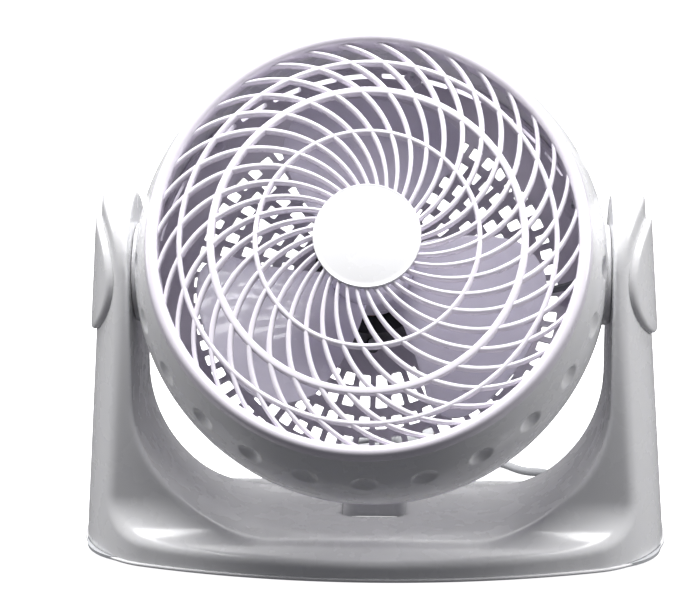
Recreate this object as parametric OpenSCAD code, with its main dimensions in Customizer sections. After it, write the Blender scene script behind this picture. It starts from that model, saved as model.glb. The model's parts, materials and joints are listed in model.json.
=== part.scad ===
// Tabletop air circulator: a round fan head that tilts between the arms of a U-shaped stand.
// Millimetres, +Z up, and the fan blows towards -Y. The origin is on the floor, under the middle
// of the fan. The head is drawn on its own axis, nose up, and on_head() puts it in its place.

/* [Stand] */
// Width of the stand at the floor
stand_w = 359; // [350:1:400]
// Reach of the stand in front of the tilt axis
stand_front = 77; // [70:1:100]
// Reach of the stand behind the tilt axis
stand_rear = 68; // [64:1:90]
// Radius of the bowed front edge in plan
bow_r = 450; // [350:5:700]
// Radius of the front corners in plan
corner_r = 42; // [34:1:50]
// Radius of the rear corners in plan
rear_corner_r = 30; // [20:1:36]
// How far the sides lean in, in degrees
side_lean = 4.4; // [2:0.1:4.6]
// Wall of the stand moulding
stand_wall = 2.6; // [2:0.1:3.5]
// Height of the deck under the head
deck_z = 18; // [15:0.5:22]
// Height of the deck at its front lip
lip_z = 12.3; // [9:0.5:13]
// Rise of the front deck, in degrees
deck_rise = 11; // [6:0.5:14]
// Fillet between an arm and the deck
arm_fillet = 20; // [14:1:24]
// Depth of an arm, front to back
arm_d = 79; // [76:1:90]
// Gap between an arm and the side of the head
arm_gap = 1.9; // [1:0.1:4]
// Corner radius of the U-shaped cove
cove_r = 82; // [60:1:100]
// Width of the hanging slot in the deck
slot_w = 40; // [24:1:44]
// Depth of the hanging slot, front to back
slot_d = 45; // [30:1:50]
// Corner radius of the hanging slot
slot_r = 9; // [6:1:12]
// Height of the bead round the foot of the stand
bead_h = 2; // [1:0.1:3]
// How far the bead stands out
bead_out = 1.2; // [0.5:0.1:2]
// Thickness of the base plate
plate_t = 2; // [1.5:0.1:3]
// Height of the rubber feet below the base plate
foot_h = 1.4; // [1:0.1:3]
// Radius of the rubber feet
foot_r = 9; // [6:0.5:11]

/* [Tilt pivot] */
// Height of the tilt axis
axis_z = 169; // [165:1:200]
// How far the tilt axis lies behind the middle of the fan
axis_y = 16; // [0:0.5:40]
// Tilt of the head above level at rest, in degrees
tilt = 30; // [0:1:80]
// Radius of the pivot caps
cap_r = 34.5; // [30:0.5:37]
// How far the caps stand proud of the arms
cap_out = 3.7; // [2:0.1:6]
// Radius of the screw opening behind a cap
cap_hole_r = 24; // [18:0.5:27]
// Radius of the bosses on the sides of the head
boss_r = 30; // [24:0.5:32]
// Radius of the hollow pivot spigots
spigot_r = 10; // [8:0.5:12]
// Radius of the lead's way through a spigot
spigot_bore_r = 4; // [3.5:0.5:5]
// Running clearance between a spigot and its arm
spigot_clear = 0.05; // [0.02:0.01:0.1]

/* [Head] */
// Largest radius of the drum
drum_r = 140.3; // [125:0.1:141]
// Where the drum is widest, ahead of the tilt axis
drum_peak = 12; // [0:1:25]
// Radius of the drum's bulge in profile
bulge_r = 119.5; // [100:0.5:180]
// Wall of the drum
drum_wall = 4; // [3:0.1:5]
// Front edge of the drum, ahead of the tilt axis
drum_front = 64; // [58:1:72]
// Rear edge of the drum, behind the tilt axis
drum_rear = 8; // [6:1:14]
// Number of dimples round the drum
dimples = 25; // [12:1:30]
// Radius of the dimples' spheres
dimple_r = 12; // [8:0.5:16]
// Depth of the dimples
dimple_depth = 2.8; // [1:0.1:3]
// Place of the dimples, ahead of the tilt axis
dimple_at = 41; // [30:1:50]
// Wall of the rear grille
rear_wall = 2.5; // [2:0.1:3.5]
// Radius of the rear grille's shoulder in profile
shoulder_r = 34; // [25:1:40]

/* [Front grille] */
// Inner radius of the rim
open_r = 120.2; // [110:0.2:122]
// Radius of the rim's rounded nose
nose_r = 3.6; // [3:0.1:5]
// Number of curved ribs
ribs = 36; // [24:1:40]
// Width of a rib
rib_w = 3.6; // [2.6:0.1:4]
// Depth of a rib
rib_d = 6; // [4:0.5:8]
// Radii of the three rings
ring_r = [64, 89.6, 107.8];
// Widths of the three rings
ring_w = [3, 4.4, 3.2];
// How far the middle ring stands forward of the rim
crest = 3; // [0:0.5:6]
// Radius of the hub cap
hub_r = 30.9; // [26:0.1:36]
// How far the hub cap's edge stands forward of the rim
hub_out = 5; // [2:0.5:8]

/* [Impeller and motor] */
// Radius of the impeller
impeller_r = 106; // [90:1:110]
// Number of blades
blades = 3; // [3:1:5]
// Radius of the impeller's hub
impeller_hub_r = 26; // [20:1:30]
// Thickness of a blade
blade_t = 2; // [1.6:0.1:3]
// Radius of the motor
motor_r = 36; // [30:0.5:42]
// Radius of the motor shaft
shaft_r = 4; // [3:0.5:5]
// Running clearance of the turning parts
run_clear = 0.05; // [0.02:0.01:0.1]
// Radius of the speed knob
knob_r = 17; // [12:0.5:20]

/* [Mains lead] */
// Diameter of the mains lead
cord_d = 5.6; // [5:0.1:7]

/* [Hidden] */
$fn = 48;
EPS = 0.01;

WHITE = "#f1f3f6";

// Points of an arc about (cx, cy), from angle a0 to a1 in n steps
function arc(cx, cy, r, a0, a1, n) =
    [for (i = [0:n]) [cx + r * cos(a0 + (a1 - a0) * i / n), cy + r * sin(a0 + (a1 - a0) * i / n)]];
function polar(r, a) = [r * cos(a), r * sin(a)];
function mirrored(pts) = [for (i = [len(pts) - 1:-1:0]) [-pts[i][0], pts[i][1]]];

// ---- Frames: the tilt axis is the stand's datum, and the head turns about it ----
module at_axis() { translate([0, axis_y, 0]) children(); }
module on_head() { translate([0, axis_y, axis_z]) rotate([90 - tilt, 0, 0]) children(); }
// A side of the head or stand: +Z then points outwards along the tilt axis
module sideways(s) { rotate([0, s * 90, 0]) children(); }
module both_sides() { for (s = [-1, 1]) sideways(s) children(); }
module ring_of(n, r, from = 0) {
    for (i = [0:n - 1]) rotate([0, 0, from + i * 360 / n]) translate([r, 0, 0]) children();
}

module lift(l) { translate([0, 0, l]) children(); }
module washer(r_out, r_in, l0, l1) {
    lift(l0) difference() {
        cylinder(r = r_out, h = l1 - l0);
        lift(-1) cylinder(r = r_in, h = l1 - l0 + 2);
    }
}

// ---- Derived sizes of the stand ----
arm_top_r = arm_d / 2;
arm_top_z = axis_z + 9.5;
stand_h = arm_top_z + arm_top_r;
boss_x = drum_r + 0.9;
cove_w = boss_x + 0.3;
arm_in_x = cove_w;
half_w = stand_w / 2 - bead_out;
top_scale = 1 - stand_h * tan(side_lean) / half_w;
spigot_end = arm_in_x + stand_wall + 0.8;
retainer_t = 2;
retainer_r = 17;
slot_y = 14.5;
relief_x = 110;
relief_z = 9.8;
relief_r = 4.3;
relief_y = stand_rear - bead_out;
relief_end = 95;
lead_r = 2.4;

// Plan of the stand at the floor, set in by t: a bowed front, round corners and a straight back
function plan(t) = let (
        w = half_w - t, r = corner_r - t, rr = rear_corner_r - t,
        bow_y = bow_r - (stand_front - bead_out), rear = stand_rear - bead_out - t,
        cx = w - r, cy = bow_y - sqrt(pow(bow_r - corner_r, 2) - cx * cx),
        turn = atan2(cy - bow_y, cx),
        right = concat(arc(0, bow_y, bow_r - t, -90, turn, 6), arc(cx, cy, r, turn + 8, 0, 8),
            arc(w - rr, rear - rr, rr, 0, 90, 6)))
    concat(right, [for (p = mirrored(right)) if (p[0] < -EPS) p]);

// The leaning outside of the stand, set in by t
module stand_envelope(t) {
    linear_extrude(stand_h + 2, scale = [top_scale, 0.96], slices = 6) polygon(plan(t));
}

// Side view of the stand, set in by t: round-topped arms that sweep into the front and rear decks
function side_view(t) = let (
        f = arm_fillet + t, face = arm_top_r - t,
        line = lip_z - t / cos(deck_rise),
        front_c = [-face - f, line + (stand_front - face - f) * tan(deck_rise) + f / cos(deck_rise)],
        rear_c = [face + f, deck_z - 1 - t + f])
    concat(
        [[-stand_front - 5, -1], [-stand_front - 5, line - 5 * tan(deck_rise)]],
        arc(front_c[0], front_c[1], f, -90 + deck_rise, 0, 6),
        arc(0, arm_top_z, face, 180, 0, 20),
        arc(rear_c[0], rear_c[1], f, 180, 270, 6),
        [[stand_rear + 5, deck_z - 1 - t], [stand_rear + 5, -1]]);

module stand_side(t) { rotate([90, 0, 90]) linear_extrude(stand_w + 10, center = true) polygon(side_view(t)); }

// Front view of the cove that the head sits in, grown by t
module cove(t) {
    w = cove_w + t;
    r = cove_r + t;
    floor_z = deck_z - t;
    right = concat(arc(w - r, floor_z + r, r, -90, 0, 16), [[w, stand_h + 20]]);
    rotate([90, 0, 0]) linear_extrude(400, center = true) polygon(concat(right, mirrored(right)));
}

module stand_form(t) {
    difference() {
        intersection() {
            stand_envelope(t);
            stand_side(t);
        }
        cove(t);
    }
}

function slot_points(grow) = let (w = slot_w / 2 - slot_r, d = slot_d / 2 - slot_r, r = slot_r + grow)
    concat(arc(w, -d, r, -90, 0, 6), arc(w, d, r, 0, 90, 6), arc(-w, d, r, 90, 180, 6), arc(-w, -d, r, 180, 270, 6));
module slot_outline(grow) { polygon(slot_points(grow)); }

module slot_tube(grow) { translate([0, slot_y, -1]) linear_extrude(deck_z + 5) slot_outline(grow); }

foot_x = 135;
foot_front_y = -38;
foot_rear_y = 45;
module at_feet() {
    for (s = [-1, 1]) for (y = [foot_front_y, foot_rear_y]) translate([s * foot_x, y, 0]) children();
}
base_screw_x = 90;
module at_base_screws() {
    for (s = [-1, 1]) for (y = [foot_front_y, foot_rear_y]) translate([s * base_screw_x, y, 0]) children();
}

module stand_shell() {
    color(WHITE) at_axis() difference() {
        union() {
            translate([0, 0, foot_h]) linear_extrude(bead_h) polygon(plan(-bead_out));
            stand_form(0);
        }
        difference() {
            stand_form(stand_wall);
            slot_tube(stand_wall);
            at_base_screws() translate([0, 0, foot_h + plate_t]) cylinder(r = 4, h = 60);
        }
        translate([-stand_w, -stand_w, -1]) cube([2 * stand_w, 2 * stand_w, 1 + foot_h]);
        translate([0, 0, foot_h - 1]) linear_extrude(1 + plate_t) polygon(plan(stand_wall));
        slot_tube(0);
        at_base_screws() cylinder(r = 1.5, h = 12);
        translate([0, 0, axis_z]) both_sides() {
            translate([0, 0, arm_in_x - 2]) cylinder(r = spigot_r + spigot_clear, h = 10);
            translate([0, 0, arm_in_x + stand_wall + 2]) cylinder(r = cap_hole_r, h = 40);
        }
        translate([relief_x, stand_rear - 10, relief_z]) rotate([-90, 0, 0]) cylinder(r = relief_r, h = 20);
    }
}

module base_plate() {
    color("#dfe2e6") at_axis() difference() {
        translate([0, 0, foot_h]) linear_extrude(plate_t) difference() {
            polygon(plan(stand_wall + 0.2));
            translate([0, slot_y]) slot_outline(stand_wall + 0.2);
        }
        at_base_screws() cylinder(r = 1.7, h = 8);
        at_feet() translate([0, 0, -1]) cylinder(r = 3, h = 8);
    }
}

module rubber_feet() {
    color("#3a3c40") at_axis() at_feet() {
        cylinder(r1 = foot_r - 0.8, r2 = foot_r, h = foot_h);
        cylinder(r = 2.95, h = foot_h + plate_t + EPS);
        translate([0, 0, foot_h + plate_t]) cylinder(r1 = 4, r2 = 3, h = 1.4);
    }
}

module base_screws() {
    color("silver") at_axis() at_base_screws() {
        translate([0, 0, foot_h - 0.8]) cylinder(r = 3, h = 0.8);
        translate([0, 0, foot_h - EPS]) cylinder(r = 1.5, h = 9);
    }
}

// A pivot cap follows the arm's outside and hides the opening behind it
module pivot_cap(s) {
    skirt = 6;
    color(WHITE) at_axis() {
        difference() {
            intersection() {
                stand_envelope(-cap_out);
                translate([0, 0, axis_z]) sideways(s) cylinder(r = cap_r, h = stand_w);
            }
            stand_envelope(0);
        }
        difference() {
            intersection() {
                stand_envelope(-1);
                translate([0, 0, axis_z]) sideways(s) difference() {
                    cylinder(r = cap_hole_r - 0.1, h = stand_w);
                    cylinder(r = cap_hole_r - 2.1, h = stand_w);
                }
            }
            stand_envelope(skirt);
        }
    }
}
module left_pivot_cap() { pivot_cap(-1); }
module right_pivot_cap() { pivot_cap(1); }

// ---- A round tube swept along a list of points ----
function unit(v) = v / norm(v);
function along(p, i) = unit(p[min(i + 1, len(p) - 1)] - p[max(i - 1, 0)]);
// A frame that is carried along the route, so that the tube doesn't twist
function carried(p, i, u) = let (t = along(p, i), w = u - (u * t) * t) unit(w);
function frames(p, u, i = 0) = i >= len(p) ? [] : let (w = carried(p, i, u)) concat([w], frames(p, w, i + 1));
module tube(p, r, up = [0, 0, 1], sides = 10) {
    f = frames(p, up);
    points = [for (i = [0:len(p) - 1]) let (t = along(p, i), a = f[i], b = cross(t, a))
        for (k = [0:sides - 1]) p[i] + r * (a * cos(k * 360 / sides) + b * sin(k * 360 / sides))];
    last = (len(p) - 1) * sides;
    walls = [for (i = [0:len(p) - 2]) for (k = [0:sides - 1]) let (n = (k + 1) % sides)
        [i * sides + k, (i + 1) * sides + k, (i + 1) * sides + n, i * sides + n]];
    polyhedron(points, concat(walls,
        [[for (k = [0:sides - 1]) k], [for (k = [sides - 1:-1:0]) last + k]]));
}

// A smooth curve through hand-chosen points: Catmull-Rom, n steps to a stretch
function spline_at(a, b, c, d, t) =
    0.5 * (2 * b + (c - a) * t + (2 * a - 5 * b + 4 * c - d) * t * t + (3 * b - a - 3 * c + d) * t * t * t);
function smooth(p, n) = concat([for (i = [0:len(p) - 2]) for (k = [0:n - 1])
    spline_at(p[max(i - 1, 0)], p[i], p[i + 1], p[min(i + 2, len(p) - 1)], k / n)], [p[len(p) - 1]]);

// ---- Leads that the fan holds all the way ----
lead_mid_x = (arm_in_x + stand_wall + half_w) / 2 - 2;
lead_joint_x = spigot_end - 2;
stand_lead_route = [
    [relief_x, relief_y - 6.2, relief_z], [relief_x, relief_y - 16, relief_z], [relief_x + 4, 40, relief_z + 1],
    [relief_x + 22, 22, relief_z + 6], [lead_mid_x - 3, 12, 30], [lead_mid_x + 1, 8, 60],
    [lead_mid_x - 1, 5, 100], [lead_mid_x - 3, 2, 135], [lead_mid_x - 4, 0, axis_z - 18],
    [lead_mid_x - 5, 0, axis_z - 8], [lead_mid_x - 9, 0, axis_z - 1.5], [lead_joint_x + 4, 0, axis_z],
    [lead_joint_x, 0, axis_z]];
module stand_lead() { color("#8d9096") at_axis() tube(smooth(stand_lead_route, 3), lead_r, [0, 0, 1], 8); }

clamp_w = 26;
clamp_top = 1;
clamp_h = relief_z - foot_h - plate_t + lead_r + clamp_top;
clamp_screw_x = 9;
module at_clamp() { at_axis() translate([relief_x, relief_y - 11, foot_h + plate_t]) children(); }
module lead_clamp() {
    color("#dfe2e6") at_clamp() difference() {
        translate([-clamp_w / 2, -4, 0]) cube([clamp_w, 8, clamp_h]);
        for (s = [-1, 1]) translate([s * clamp_screw_x, 0, -1]) cylinder(r = 1.3, h = clamp_h + 2);
        translate([0, 0, clamp_h - lead_r - clamp_top]) rotate([90, 0, 0])
            cylinder(r = lead_r + 0.3, h = 20, center = true);
    }
}
module clamp_screws() {
    color("silver") at_clamp() for (s = [-1, 1]) translate([s * clamp_screw_x, 0, 0]) {
        translate([0, 0, clamp_h]) cylinder(r = 2.4, h = 1);
        cylinder(r = 1.3, h = clamp_h + EPS);
    }
}

// ---- The mains lead outside, as it lies on the floor behind the stand ----
cord_r = cord_d / 2;
cord_route = [
    [110, 95, 9.8], [110, 98, 9.6], [109.2, 104.4, 8.8], [106.9, 110.4, 7.3], [103.9, 114.7, 6],
    [98.8, 120.8, 4.3], [93.6, 126.9, 3.2], [88.5, 133, 2.9], [83.7, 138.8, 2.9], [77.4, 144, 2.9],
    [69.8, 146.8, 2.9], [61.6, 146.8, 2.9], [54, 144, 2.9], [47.7, 138.7, 2.9], [43.5, 131.4, 2.9],
    [42, 124.4, 2.9], [42, 118, 2.9]];
coil_c = [0, 116];
coil_mid_r = 33.6;
coil_wide = 4;
coil_layers = 2;
plug_route = [
    [-42, 116, 8.5], [-42, 121, 8.5], [-42, 129, 8.2], [-42, 137, 7.1], [-42, 144, 5.7], [-42, 150, 4.3],
    [-40.7, 158.3, 3.1], [-37, 165.8, 2.9], [-31.2, 171.6, 3.8], [-24.1, 175.5, 5.5], [-16, 177, 7.1],
    [-9, 177, 8], [-4, 177, 8.1]];
plug_at = [-4, 177, 8.1];

module strain_relief() {
    color("#c9ccd1") at_axis() translate([relief_x, relief_y, relief_z]) rotate([-90, 0, 0]) {
        translate([0, 0, -6]) cylinder(r = relief_r - 0.05, h = 7);
        translate([0, 0, 0.3]) cylinder(r = 6.2, h = 2.7);
        translate([0, 0, 3 - EPS]) cylinder(r1 = 5, r2 = cord_r + 0.7, h = relief_end - relief_y - 3);
    }
}
module power_cord() {
    color("#c9ccd1") at_axis() {
        tube(smooth(cord_route, 3), cord_r);
        tube(smooth(plug_route, 2), cord_r);
    }
}
module cord_coil() {
    color("#c9ccd1") at_axis() translate([coil_c[0], coil_c[1], 0.1]) rotate_extrude($fn = 72)
        translate([coil_mid_r, coil_layers * cord_d / 2])
            square([coil_wide * cord_d, coil_layers * cord_d], center = true);
}
module cord_tie() {
    tie_t = 1.2;
    wide = coil_wide * cord_d;
    high = coil_layers * cord_d + 0.1;
    color("#4a4c50") at_axis() translate([coil_c[0], coil_c[1] + coil_mid_r, 0]) difference() {
        translate([-3, -wide / 2 - tie_t, 0]) cube([6, wide + 2 * tie_t, high + tie_t]);
        translate([-9, -wide / 2 - 0.3, -1]) cube([18, wide + 0.6, high + 1]);
    }
}
plug_r = 8;
plug_half = 4.5;
module plug_body() {
    color("#c9ccd1") at_axis() translate(plug_at) rotate([0, 90, 0]) {
        cylinder(r1 = cord_r + 0.8, r2 = 6, h = 14);
        translate([0, 0, 14 - EPS]) hull() for (s = [-1, 1]) translate([0, s * plug_half, 0])
            cylinder(r = plug_r, h = 24, $fn = 32);
    }
}
module plug_pins() {
    color("silver") at_axis() translate(plug_at) for (s = [-1, 1])
        translate([38 + 9, s * 6.35, 0]) cube([18, 1.6, 6.4], center = true);
}

// ---- Drum: the head's barrel, a bulging ring with dimples and the two pivot bosses ----
bulge_c = [drum_r - bulge_r, drum_peak];
function bulge_at(l, t = 0) = bulge_c[0] + sqrt(pow(bulge_r - t, 2) - pow(l - drum_peak, 2));
function bulge(l0, l1, t, n) = [for (i = [0:n]) let (l = l0 + (l1 - l0) * i / n) [bulge_at(l, t), l]];

module drum_solid(t, over = 0) {
    rotate_extrude() polygon(concat([[0, -drum_rear - over]], bulge(-drum_rear - over, drum_front + over, t, 8),
        [[0, drum_front + over]]));
}

module drum_housing() {
    dimple_out = bulge_at(dimple_at) + dimple_r - dimple_depth;
    color(WHITE) on_head() difference() {
        union() {
            drum_solid(0);
            both_sides() {
                cylinder(r = boss_r, h = boss_x);
                cylinder(r = spigot_r, h = spigot_end);
            }
        }
        rear_solid(-0.2, -drum_rear);
        difference() {
            union() {
                drum_solid(drum_wall, 2);
                translate([0, 0, -60]) cylinder(r = rear_r - drum_wall, h = 80);
            }
            at_grille_screws() lift(grille_ear_h - drum_rear) cylinder(r = 8.5, h = 10);
        }
        at_grille_screws() cylinder(r = 1.3, h = 30, center = true);
        both_sides() cylinder(r = spigot_bore_r, h = spigot_end + 1);
        both_sides() ring_of(3, retainer_screw_r, 30) translate([0, 0, spigot_end - 8]) cylinder(r = 1, h = 10);
        ring_of(dimples, dimple_out, -90) translate([0, 0, dimple_at]) sphere(r = dimple_r, $fn = 40);
    }
}

retainer_screw_r = 7;
module pivot_retainer(s) {
    color("silver") on_head() sideways(s) translate([0, 0, spigot_end]) difference() {
        cylinder(r = retainer_r, h = retainer_t);
        translate([0, 0, -1]) cylinder(r = spigot_bore_r, h = retainer_t + 2);
        ring_of(3, retainer_screw_r, 30) translate([0, 0, -1]) cylinder(r = 1.2, h = retainer_t + 2);
    }
}
module left_pivot_retainer() { pivot_retainer(-1); }
module right_pivot_retainer() { pivot_retainer(1); }

module retainer_screws() {
    color("silver") on_head() both_sides() ring_of(3, retainer_screw_r, 30) translate([0, 0, spigot_end]) {
        translate([0, 0, retainer_t]) cylinder(r = 2, h = 1.3);
        translate([0, 0, -6]) cylinder(r = 1, h = 6 + retainer_t + EPS);
    }
}

// ---- Front grille: curved ribs from hub to rim, three rings, and the rounded rim itself ----
rib_arc_r = 0.558 * open_r;
rib_arc_at = 0.5327 * open_r;
rib_start = 82;
grille_top = drum_front + 5;
// Angle at radius r of a rib's edge, whose arc is e larger in radius
function rib_angle(r, e) = rib_start
    - acos((r * r + rib_arc_at * rib_arc_at - pow(rib_arc_r + e, 2)) / (2 * r * rib_arc_at));
function rib_half(r) = rib_w * (0.34 + 0.17 * r / open_r);
// The opening between two ribs, from radius r0 to r1
function cell(i, r0, r1, n = 4) = let (pitch = 360 / ribs)
    concat([for (k = [0:n]) let (r = r0 + (r1 - r0) * k / n) polar(r, rib_angle(r, -rib_half(r)) + i * pitch)],
        [for (k = [n:-1:0]) let (r = r0 + (r1 - r0) * k / n) polar(r, rib_angle(r, rib_half(r)) + (i + 1) * pitch)]);

module grille_plan() {
    edge_r = [hub_r, ring_r[0], ring_r[1], ring_r[2], open_r];
    edge_w = [0, ring_w[0], ring_w[1], ring_w[2], 0];
    difference() {
        circle(r = open_r + 1);
        for (b = [0:3]) for (i = [0:ribs - 1])
            polygon(cell(i, edge_r[b] + edge_w[b] / 2, edge_r[b + 1] - edge_w[b + 1] / 2));
    }
}

module front_grille() {
    front = [[hub_r - 2, grille_top + hub_out], [hub_r + 1, grille_top + hub_out],
        [ring_r[1], grille_top + crest], [open_r + 1, grille_top]];
    color(WHITE) on_head() {
        intersection() {
            translate([0, 0, drum_front - 4]) linear_extrude(30) grille_plan();
            rotate_extrude() polygon(concat(front, [for (i = [3:-1:0]) [front[i][0], front[i][1] - rib_d]]));
        }
        translate([0, 0, grille_top + hub_out - rib_d]) cylinder(r = hub_r - 1, h = rib_d - 1);
        rotate_extrude() union() {
            translate([open_r + nose_r, drum_front + 4.5]) circle(r = nose_r, $fn = 32);
            polygon([[open_r, drum_front - 4], [open_r, drum_front + 4.5], [open_r + 2 * nose_r, drum_front + 4.5],
                [bulge_at(drum_front), drum_front], [bulge_at(drum_front, drum_wall + 0.1), drum_front],
                [bulge_at(drum_front, drum_wall + 0.1), drum_front - 4]]);
        }
    }
}

module hub_cap() {
    seat = grille_top + hub_out;
    edge = 1;
    dome = 2.2;
    dome_r = (hub_r * hub_r + dome * dome) / (2 * dome);
    color(WHITE) on_head() rotate_extrude() polygon(concat(
        [[0, seat - 1], [hub_r - 2.5, seat - 1], [hub_r - 2.5, seat], [hub_r, seat]],
        arc(0, seat + edge + dome - dome_r, dome_r, 90 - asin(hub_r / dome_r), 90, 8)));
}

// ---- Rear grille: a shallow dished cage with rows of slots and a solid middle that holds the motor ----
plate_l = -(drum_rear + shoulder_r);
rear_r = bulge_at(-drum_rear);
// The rear grille's outside, set in by t, cut off at height top
module rear_solid(t, top) {
    rotate_extrude() polygon(concat([[0, top], [rear_r - t, top]],
        arc(rear_r - shoulder_r, -drum_rear, shoulder_r - t, 0, -90, 8), [[0, plate_l + t]]));
}

// Rows of slots: how many, from radius, to radius, width of a bar
SLOT_ROWS = [[36, 53, 61, 3.4], [44, 66, 74, 3.4], [52, 79, 87, 3.4], [60, 92, 100, 3.4], [68, 105, 112.5, 3.4]];
// A row of n slots between two radii, with bars w wide
module slot_row(n, r0, r1, w) {
    for (i = [0:n - 1]) rotate([0, 0, i * 360 / n]) polygon([
        [r0, w / 2], [r1, w / 2],
        polar(r1, 360 / n - asin(w / 2 / r1)), polar(r0, 360 / n - asin(w / 2 / r0))]);
}

shoulder_slots = 36;
shoulder_slot_w = 18.8;
shoulder_slot_h = 9.2;
// Section of the rear grille: plate, shoulder, and a lip that fits inside the drum
function rear_section() = let (
        lip_r = rear_r - drum_wall - 0.1, lip_t = 2, flange = 2.5, lip_h = grille_ear_h - 1,
        c = [rear_r - shoulder_r, -drum_rear], r_in = shoulder_r - rear_wall)
    concat([[0, plate_l]], arc(c[0], c[1], shoulder_r, -90, 0, 8),
        [[lip_r, -drum_rear], [lip_r, lip_h - drum_rear], [lip_r - lip_t, lip_h - drum_rear],
            [lip_r - lip_t, -drum_rear - flange]],
        arc(c[0], c[1], r_in, -asin(flange / r_in), -90, 8), [[0, plate_l + rear_wall]]);

grille_ear_h = 5;
module rear_grille() {
    color("#e9ebef") on_head() difference() {
        union() {
            rotate_extrude() polygon(rear_section());
            at_grille_screws() lift(-drum_rear - 2) cylinder(r = 5.5, h = grille_ear_h + 2);
        }
        lift(plate_l - 10) linear_extrude(26)
            for (row = SLOT_ROWS) slot_row(row[0], row[1], row[2], row[3]);
        for (i = [0:shoulder_slots - 1]) rotate([0, 0, (i + 0.5) * 360 / shoulder_slots])
            translate([rear_r - 7, -shoulder_slot_w / 2, -drum_rear - 12.7]) cube([16, shoulder_slot_w, shoulder_slot_h]);
        at_grille_screws() lift(-drum_rear - 4) cylinder(r = 1.5, h = 12);
        at_motor_screws() lift(plate_l - 1) cylinder(r = 1.6, h = rear_wall + 2);
        translate([40, 0, plate_l - 1]) cylinder(r = 4, h = rear_wall + 2);
        at_cover_screws() lift(plate_l - 1) cylinder(r = 1.3, h = rear_wall + 2);
    }
}
module at_motor_screws() { ring_of(4, 25, 45) children(); }
module at_grille_screws() { ring_of(6, rear_r - 10.5, 20) children(); }

// Screws that hold the rear grille to the drum, through ears behind its shoulder
module grille_screws() {
    color("silver") on_head() at_grille_screws() {
        lift(-drum_rear - 4) cylinder(r = 3, h = 2);
        lift(-drum_rear - 2 - EPS) cylinder(r = 1.3, h = 14.5);
    }
}

// ---- Motor: it stands on the middle of the rear grille ----
motor_back = plate_l + rear_wall;
motor_split = motor_back + 17;
motor_front = motor_back + 33.5;
shell_t = 2;
bolt_at_r = motor_r + 2.8;
bushing_r = 8;
stator_r = motor_r - shell_t - 0.06;
rotor_r = 16;
air_gap = 0.4;
core_l0 = motor_back + 11.5;
core_l1 = motor_back + 25.5;

module at_bolts() { ring_of(3, bolt_at_r, 30) children(); }

// One half of the motor's case, drawn from its closed end up
module motor_cup(h) {
    difference() {
        union() {
            cylinder(r = motor_r, h = h);
            at_bolts() lift(h - 5) cylinder(r = 3.6, h = 5);
        }
        lift(shell_t) cylinder(r = motor_r - shell_t, h = h);
        lift(-1) cylinder(r = bushing_r, h = shell_t + 2);
        at_bolts() lift(h - 8) cylinder(r = 1.25, h = 12);
    }
}
module motor_rear_shell() {
    color("#2a2b2f") on_head() difference() {
        union() {
            lift(motor_back) motor_cup(motor_split - motor_back);
            at_motor_screws() lift(motor_back + 1) cylinder(r = 3.6, h = 7);
        }
        at_motor_screws() lift(motor_back - 1) cylinder(r = 1.5, h = 8);
    }
}
module motor_front_shell() {
    color("#2a2b2f") on_head() lift(motor_front) mirror([0, 0, 1]) difference() {
        motor_cup(motor_front - motor_split);
        ring_of(6, 22, 30) lift(-1) cylinder(r = 3.2, h = shell_t + 2);
    }
}
module motor_bolts() {
    color("silver") on_head() at_bolts() {
        lift(motor_split - 5) cylinder(r = 1.2, h = 10 + EPS);
        lift(motor_split + 5) cylinder(r = 2.5, h = 1.6);
    }
}
module motor_screws() {
    color("silver") on_head() at_motor_screws() {
        lift(plate_l - 1.6) cylinder(r = 3, h = 1.6);
        lift(plate_l - EPS) cylinder(r = 1.5, h = 8);
    }
}
module stator_core() {
    color("#55575c") on_head() difference() {
        washer(stator_r, rotor_r + air_gap, core_l0, core_l1);
        ring_of(8, 24, 0) lift(core_l0 - 1) cylinder(r = 4.4, h = core_l1 - core_l0 + 2);
    }
}
module stator_windings() {
    color("#a8642c") on_head() {
        washer(29.5, 19, core_l0 - 3.2, core_l0);
        washer(29.5, 19, core_l1, core_l1 + 3.2);
        ring_of(8, 24, 0) lift(core_l0 - EPS) cylinder(r = 4.3, h = core_l1 - core_l0 + 2 * EPS);
    }
}
module shaft_bushings() {
    color("#b08d4a") on_head() {
        washer(bushing_r, shaft_r + run_clear, motor_back, motor_back + 6);
        washer(bushing_r, shaft_r + run_clear, motor_front - 6, motor_front);
    }
}

// ---- The turning parts ----
hub_l0 = motor_front + 4;
hub_l1 = hub_l0 + 27;
blade_l = 13.5;
blade_rise = 26;
blade_lag = -21.2;
blade_from = -16.7;
module motor_shaft() {
    color("silver") on_head() lift(motor_back + 0.5) cylinder(r = shaft_r, h = hub_l1 + 5 - motor_back);
}
module rotor_core() { color("#6b6d72") on_head() washer(rotor_r, shaft_r, core_l0 - 1, core_l1 + 1); }
module impeller_nut() {
    color("#3a3c40") on_head() washer(7, shaft_r, hub_l1, hub_l1 + 4);
}

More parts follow.
